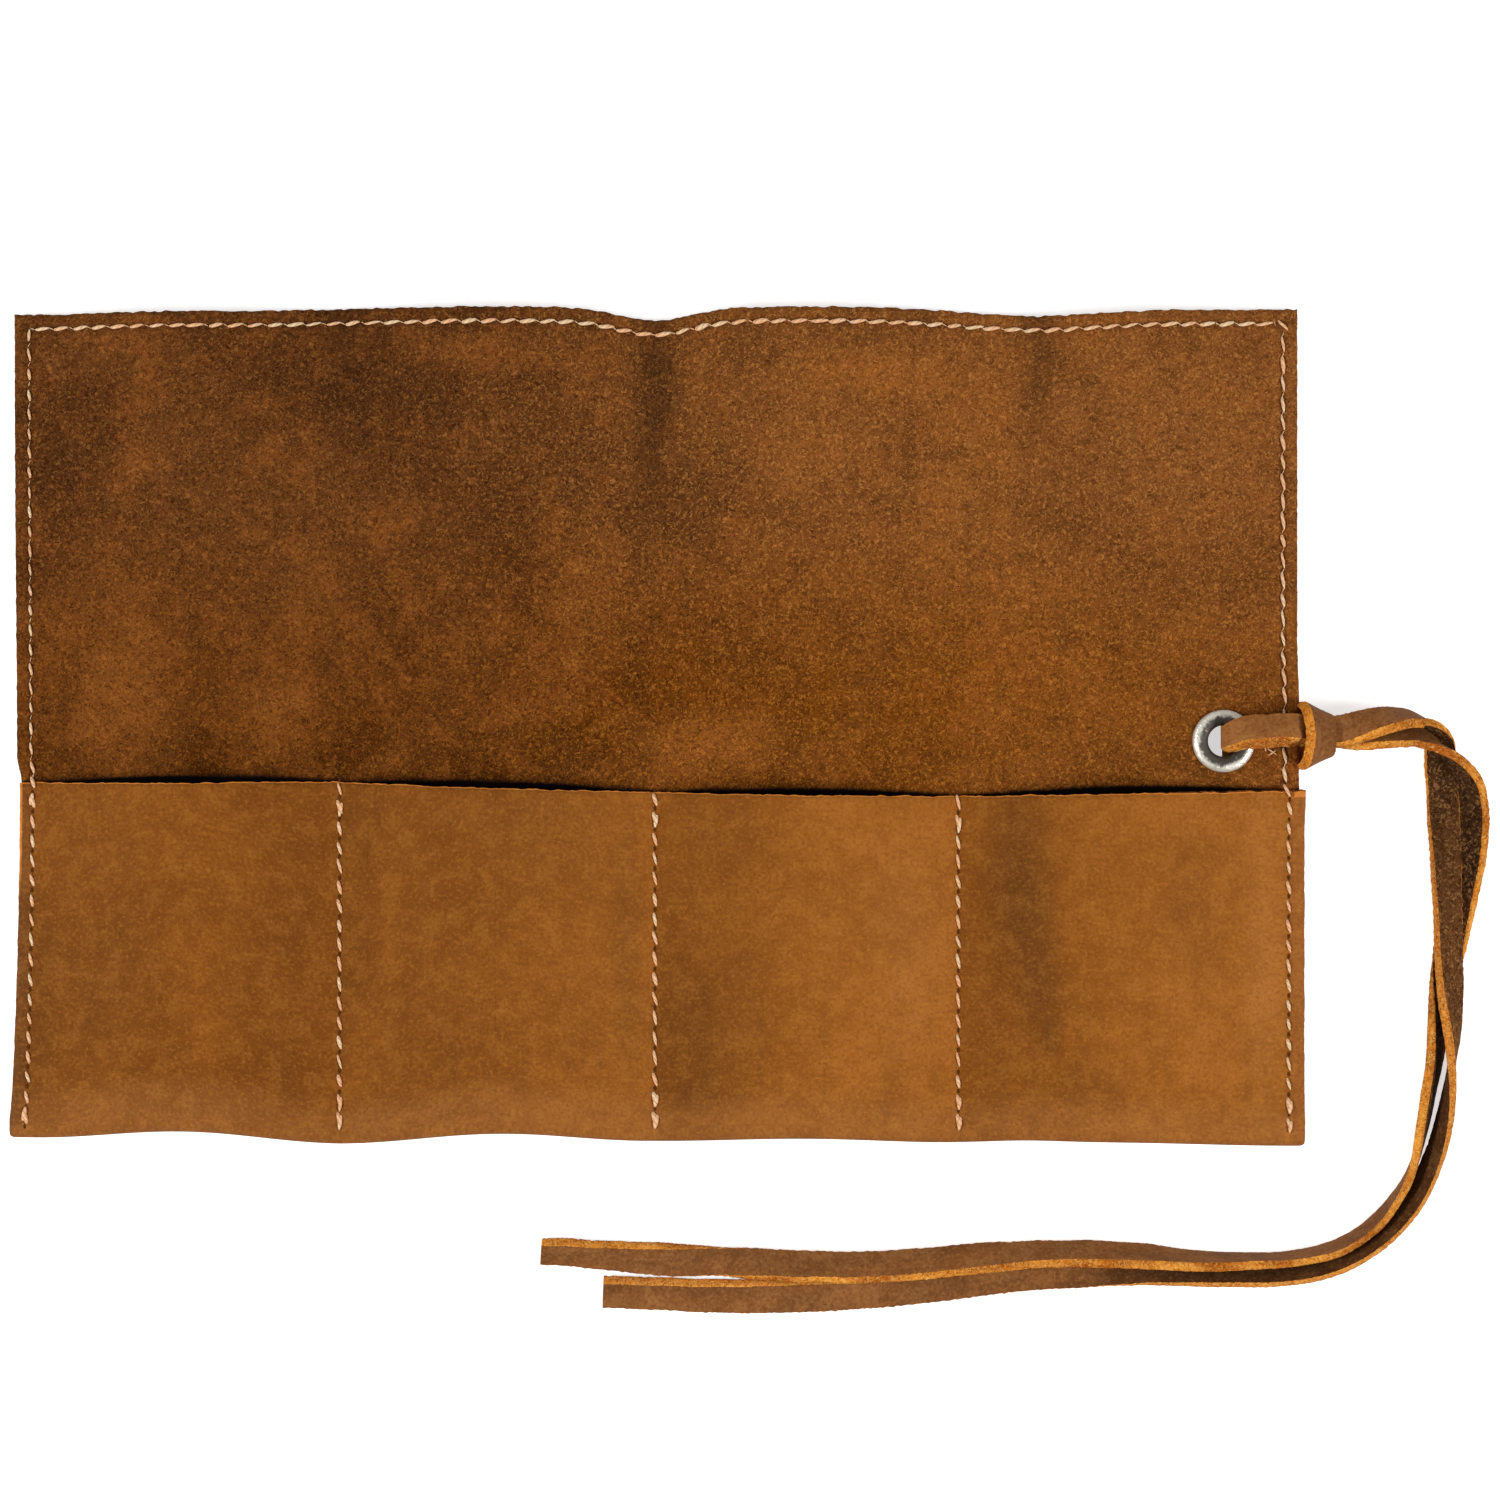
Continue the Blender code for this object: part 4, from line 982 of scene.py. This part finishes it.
# painted light: the strands over the eyelet are lighter, most of all where they come up out of it
tone = washed(tone, (run, 1.2, 0.9, 0.35, paint(184, 120, 60)))
tone = washed(tone, (run, STRANDS_FROM + 0.012, STRANDS_FROM + 0.005, 0.5, paint(196, 126, 66)))
shady = spread(run, SHORT_FROM + 0.075, SHORT_FROM + 0.095, 0.0, 0.75)
shady = times(shady, spread(run, SHORT_FROM + 0.23, SHORT_FROM + 0.19))
tone = mixed(shady, tone, paint(72, 43, 22))
light = (0.35, paint(206, 150, 92))
dressed(shader, grain, place, tone, (0.62, 0.55, 0.46, 1.0), light, 0.72, (0.35, 0.00015))


def lace_section():
    """Places round the lace's section, across and through it, and the side that follows each place."""
    half, deep, ease, soft = LACE_WIDTH / 2, LACE_THICKNESS / 2, 0.00020, 0.00014
    flat = -half + ease + (LACE_WIDTH - 2 * ease) * np.linspace(0, 1, 9)
    down = np.linspace(0, 1, 6)
    bowed = half - 0.00004 + 0.00012 * np.sin(math.pi * down)
    down = deep - soft - (LACE_THICKNESS - 2 * soft) * down
    across = np.concatenate((flat, bowed, flat[::-1], -bowed[::-1]))
    through = np.concatenate((np.full(9, deep), down, np.full(9, -deep), down[::-1]))
    sides = np.repeat((0, 1, 2, 1), (9, 6, 9, 6))
    sides[[8, 23]] = 1
    return across, through, sides


def strip_of_lace(name, centres, rights, normals, widths, seed, counted_from, slant):
    """The lace along centres, its grain side towards normals, its rough edges slanted, its ends closed."""
    flat, deep, sides = lace_section()
    run = length_so_far(centres)[:, None] + counted_from
    rough = unevenness(run, deep * 1.5 + 0.02 * (flat > 0), 0.0013, seed)
    slow = unevenness(run, np.sign(flat) * 0.1, 0.014, seed + 1)
    across = flat * (widths / LACE_WIDTH)[:, None]
    at_edge = smooth((np.abs(flat) - 0.0026) / 0.0005)
    across = across + np.sign(across) * at_edge * (0.00012 * rough + 0.00014 * slow)
    across = across - np.reshape(slant, (-1, 1)) * deep / LACE_THICKNESS
    through = deep * (1 + 0.05 * slow) + 0.00004 * unevenness(run, across, 0.0022, seed + 2)
    points = centres[:, None] + across[..., None] * rights[:, None] + through[..., None] * normals[:, None]
    made = formed_grid(name, np.concatenate((points, points[:, :1]), 1))
    places = np.stack(np.broadcast_arrays(run, flat, deep), -1)
    write_marks(made.data, "lace_place", np.concatenate((places, places[:, :1]), 1))
    for look in (lace_face, lace_edge, lace_flesh):
        made.data.materials.append(look)
    looks = np.tile(sides, len(centres) - 1).astype(np.int32)
    made.data.polygons.foreach_set("material_index", looks)
    bpy.ops.object.mode_set(mode="EDIT")
    bpy.ops.mesh.select_all(action="SELECT")
    bpy.ops.mesh.remove_doubles(threshold=0.000001)
    bpy.ops.mesh.select_all(action="DESELECT")
    bpy.ops.mesh.select_non_manifold()
    bpy.ops.mesh.edge_face_add()
    bpy.ops.mesh.select_all(action="SELECT")
    bpy.ops.mesh.normals_make_consistent(inside=False)
    bpy.ops.object.mode_set(mode="OBJECT")
    bpy.ops.object.shade_smooth_by_angle(angle=math.radians(38))
    for face in made.data.polygons:
        if len(face.vertices) > 4:
            face.material_index = 1
    return made


def turned_by(rights, ups, degrees):
    """Two directions, turned about the lace's run, the right one towards the upper one."""
    turn = np.radians(degrees)[:, None]
    return rights * np.cos(turn) + ups * np.sin(turn), ups * np.cos(turn) - rights * np.sin(turn)


def smooth_run(keys, step):
    """Points a step apart on the smooth curve through keys, each a place in metres and what goes with it."""
    keys = np.vstack((2 * keys[0] - keys[1], keys, 2 * keys[-1] - keys[-2]))
    fine = []
    for before, here, after, beyond in zip(keys, keys[1:], keys[2:], keys[3:]):
        t = np.linspace(0, 1, 12, endpoint=False)[:, None]
        swing = (2 * before - 5 * here + 4 * after - beyond) * t**2
        swing = swing + (3 * here - before - 3 * after + beyond) * t**3
        fine.append(0.5 * (2 * here + (after - before) * t + swing))
    fine = np.vstack((*fine, keys[-2]))
    so_far = length_so_far(fine[:, :3])
    return sampled(np.linspace(0, so_far[-1], round(so_far[-1] / step) + 1), so_far, fine)


# routes of the two tails: across, along, height of the lace's underside, in millimetres, and degrees of turn
SHORT_TAIL = (
    (147.0, -1.4, 6.8, 0), (151.3, -1.2, 6.1, 6), (154.2, -0.6, 6.1, 18), (158.0, 0.5, 5.5, 34),
    (161.5, 1.3, 4.4, 48),
    (165.0, 1.7, 2.5, 62), (168.0, 1.6, 1.2, 73), (170.6, 0.7, 0.3, 88), (172.6, -0.9, 0, 118),
    (174.0, -3.4, 0, 154),
    (174.4, -6.2, 0, 170), (174.5, -9.5, 0, 174), (174.9, -14.0, 0, 174), (175.3, -21.0, 0, 179),
    (175.5, -29.8, 0.8, 190), (175.2, -36.0, 3.1, 198), (175.3, -42.5, 4.4, 203), (175.4, -48.0, 4.5, 205),
    (175.7, -54.0, 3.6, 210), (176.1, -60.0, 2.5, 220), (176.5, -66.0, 1.8, 236), (176.7, -72.0, 1.0, 252),
    (176.4, -78.0, 0.3, 268), (175.6, -84.0, 0, 283), (174.4, -90.0, 0, 293), (172.6, -96.0, 0, 299),
    (170.2, -101.7, 0, 302), (166.9, -107.4, 0, 302), (162.2, -112.5, 0, 301), (156.8, -116.6, 0, 300),
    (150.1, -119.9, 0, 299), (142.5, -121.8, 0, 298), (134.5, -122.4, 0, 298), (120.8, -122.2, 0, 301),
    (107.4, -121.6, 0, 316), (94.1, -121.5, 0, 343), (80.8, -122.2, 0, 356), (67.4, -123.8, 0, 359),
    (54.1, -125.4, 0, 360), (40.8, -126.3, 0, 361), (28.0, -126.8, 0, 363), (14.8, -126.9, 0, 367),
    (0.6, -126.4, 0, 371), (-11.9, -125.9, 0, 372),
)
LONG_TAIL = (
    (147.0, -1.4, 4.7, 0), (151.3, -1.5, 3.9, 5), (154.2, -1.7, 3.3, 14), (158.0, -1.9, 2.7, 28),
    (161.5, -2.0, 2.6, 40),
    (165.0, -2.0, 2.5, 48), (168.0, -2.3, 2.7, 54), (170.6, -3.4, 3.3, 64), (173.2, -4.8, 3.8, 80),
    (176.3, -7.0, 3.2, 98), (178.9, -10.1, 1.9, 117), (180.4, -13.3, 0.9, 134), (181.1, -17.0, 0.3, 141),
    (181.4, -21.0, 0, 143), (180.8, -29.5, 0, 144), (178.9, -38.5, 0, 151), (176.9, -47.6, 0, 168),
    (175.3, -56.5, 0, 193), (174.0, -65.4, 0, 225), (172.8, -74.3, 0, 243), (171.3, -83.2, 0, 248),
    (170.0, -90.0, 0, 253), (168.5, -96.5, 0, 260), (166.6, -101.2, 0, 267), (164.2, -105.0, 0, 274),
    (161.5, -108.5, 0, 280), (158.3, -111.6, 0, 284), (154.4, -114.3, 0, 286), (149.7, -116.5, 0, 286),
    (142.0, -118.3, 0, 283), (134.1, -118.8, 0, 282), (127.5, -119.0, 0, 285), (120.8, -118.9, 0, 290),
    (114.0, -118.4, 0, 296), (107.4, -117.8, 0, 302), (94.1, -117.3, 0, 307), (80.8, -117.7, 0, 313),
    (67.4, -118.8, 0, 326), (54.1, -120.0, 0, 330), (40.8, -120.5, 0, 332), (28.0, -120.1, 0, 340),
    (16.5, -119.4, 0, 352), (0.6, -118.7, 0, 362), (-14.0, -117.7, 0, 368), (-25.7, -116.9, 0, 370),
)

# how the edges' slant changes along the tails: at which steps, and its share
SHORT_SLANTS = ((50, 80, 140, 200, 410, 460), (1.0, 0.3, 0.3, 1.0, 1.0, 1.5))
LONG_SLANTS = ((24, 50, 150, 200, 300, 350, 560, 600), (1.0, -0.8, -0.8, 1.0, 1.0, -0.8, -0.8, 1.4))


def free_tail(name, route, seed, counted_from, end_width, leaning):
    """A tail from the bight to its cut end, which narrows to its end's width over its last steps."""
    keys = np.array(route, float)
    turn = np.radians(keys[:, 3])
    half = np.abs(np.sin(turn)) * LACE_WIDTH / 2 + np.abs(np.cos(turn)) * LACE_THICKNESS / 2
    keys = np.column_stack((keys[:, :2] / 1000, np.maximum(keys[:, 2], 0.0) / 1000 + half, keys[:, 3]))
    run = smooth_run(keys, TAIL_STEP)
    step = np.arange(len(run))
    at_end = smooth((step - len(run) + TAPERING_STEPS) / TAPERING_STEPS)
    widths = LACE_WIDTH + (end_width - LACE_WIDTH) * at_end
    widths = widths * (1 + 0.09 * hump(step - 95, 45))
    slants = 0.0009 * np.interp(step, *leaning)
    turn = np.radians(run[:, 3])
    for side, face in ((-1, -1), (-1, 1), (1, -1), (1, 1)):
        corner = side * (widths / 2 + 0.0002) - face * slants / 2
        below = -corner * np.sin(turn) - face * LACE_THICKNESS / 2 * np.cos(turn)
        run[:, 2] = np.maximum(run[:, 2], below)
    centres = run[:, :3]
    ahead = unit(np.gradient(centres, axis=0))
    right = unit(np.cross(ahead, (0.0, 0.0, 1.0)))
    rights, normals = turned_by(right, np.cross(right, ahead), run[:, 3])
    made = strip_of_lace(name, centres, rights, normals, widths, seed, counted_from, slants)
    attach(made, "bay_4")
    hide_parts(name.replace("free_", "lace_"))


free_tail("free_tail_short", SHORT_TAIL, 41, SHORT_FROM, 0.0060, SHORT_SLANTS)
free_tail("free_tail_long", LONG_TAIL, 31, LONG_FROM, 0.0046, LONG_SLANTS)

# the hitch: two strands that come up out of the eyelet one on the other and dip under the bight, which is
# folded over them at the hide's edge and runs back under the hide on both sides. Each strand has its height,
# where it comes out beside the eyelet's axis, and how far it lies to the side.
STRANDS = ((0.00800, 0.0015, -0.0008), (0.01010, 0.0002, 0.0))
hitch_parts = []
for layer, (height, out_by, aside) in enumerate(STRANDS):
    out_at = EYELET_X + out_by
    keys = np.array(
        (
            (out_at + 0.0004, EYELET_Y + 0.0004, 0.0030, 0.0, 5.3),
            (out_at, EYELET_Y + 0.0004, height - 0.0036, 0.0, 5.2),
            (out_at + 0.0004, EYELET_Y + 0.0005, height - 0.0020, -4.0, 5.2),
            (out_at + 0.0014, EYELET_Y + 0.0010, height - 0.0008, -10.0, 5.4),
            (out_at + 0.0034, EYELET_Y + 0.0018, height - 0.0001, -14.0, 5.6),
            (0.1317, -0.0010 + aside, height + 0.0001, -15.0, 5.8),
            (0.1377, -0.0006 + aside, height, -14.0, 5.8),
            (0.1414, -0.0006 + aside, height - 0.0001, -10.0, 5.7),
            (0.1428, -0.0009 + aside, height - 0.0008, -4.0, 5.0),
            (0.1442, -0.0012 + aside, height - 0.0015, 0.0, 4.8),
            (0.1476, -0.0014, height - 0.0024, 0.0, 5.2),
        )
    )
    run = smooth_run(keys, 0.0004)
    ahead = unit(np.gradient(run[:, :3], axis=0))
    rights = np.repeat(np.array([[0.0, -1.0, 0.0]]), len(run), 0)
    rights = unit(rights - (rights * ahead).sum(1)[:, None] * ahead)
    rights, normals = turned_by(rights, np.cross(rights, ahead), -run[:, 3])
    name, widths = f"strand_{layer}", run[:, 4] / 1000
    strand = strip_of_lace(name, run[:, :3], rights, normals, widths, 61 + layer, STRANDS_FROM, 0.0009)
    hitch_parts.append(strand)

# the bight's two cut edges from under the hide to its crown, in millimetres; its other half mirrors this one
BIGHT_MIDDLE = -2.2
BIGHT_EDGES = (
    (126.0, 4.4, 1.05, 126.0, -1.8, 1.05), (134.0, 4.7, 1.05, 134.0, -1.7, 1.05),
    (138.6, 4.9, 1.05, 139.6, -1.5, 1.05), (141.6, 5.0, 1.6, 145.0, -0.8, 1.05),
    (142.7, 5.0, 4.2, 147.9, 1.0, 2.3),
    (143.1, 4.4, 8.0, 148.9, 1.8, 5.0), (143.5, 2.7, 11.2, 149.2, 1.3, 7.6),
    (143.9, 0.0, 12.3, 149.4, -0.6, 8.8),
    (144.1, -2.2, 12.45, 149.5, -2.2, 8.9),
)
half_way = np.array(BIGHT_EDGES)
mirrored = half_way[-2::-1] * (1, -1, 1, 1, -1, 1) + (0, 2 * BIGHT_MIDDLE, 0, 0, 2 * BIGHT_MIDDLE, 0)
keys = np.vstack((half_way, mirrored)) / 1000
run = smooth_run(np.column_stack(((keys[:, :3] + keys[:, 3:]) / 2, keys[:, :3] - keys[:, 3:])), 0.0003)
centres, rights = run[:, :3], unit(run[:, 3:])
normals = unit(np.cross(rights, np.gradient(centres, axis=0)))
widths = np.minimum(np.linalg.norm(run[:, 3:], axis=1), 0.0068)
hitch_parts.append(strip_of_lace("bight", centres, rights, normals, widths, 81, BIGHT_FROM, 0.0011))
hitch = joined(hitch_parts, "hitch")
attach(hitch, "bay_4")
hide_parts("lace_hitch")
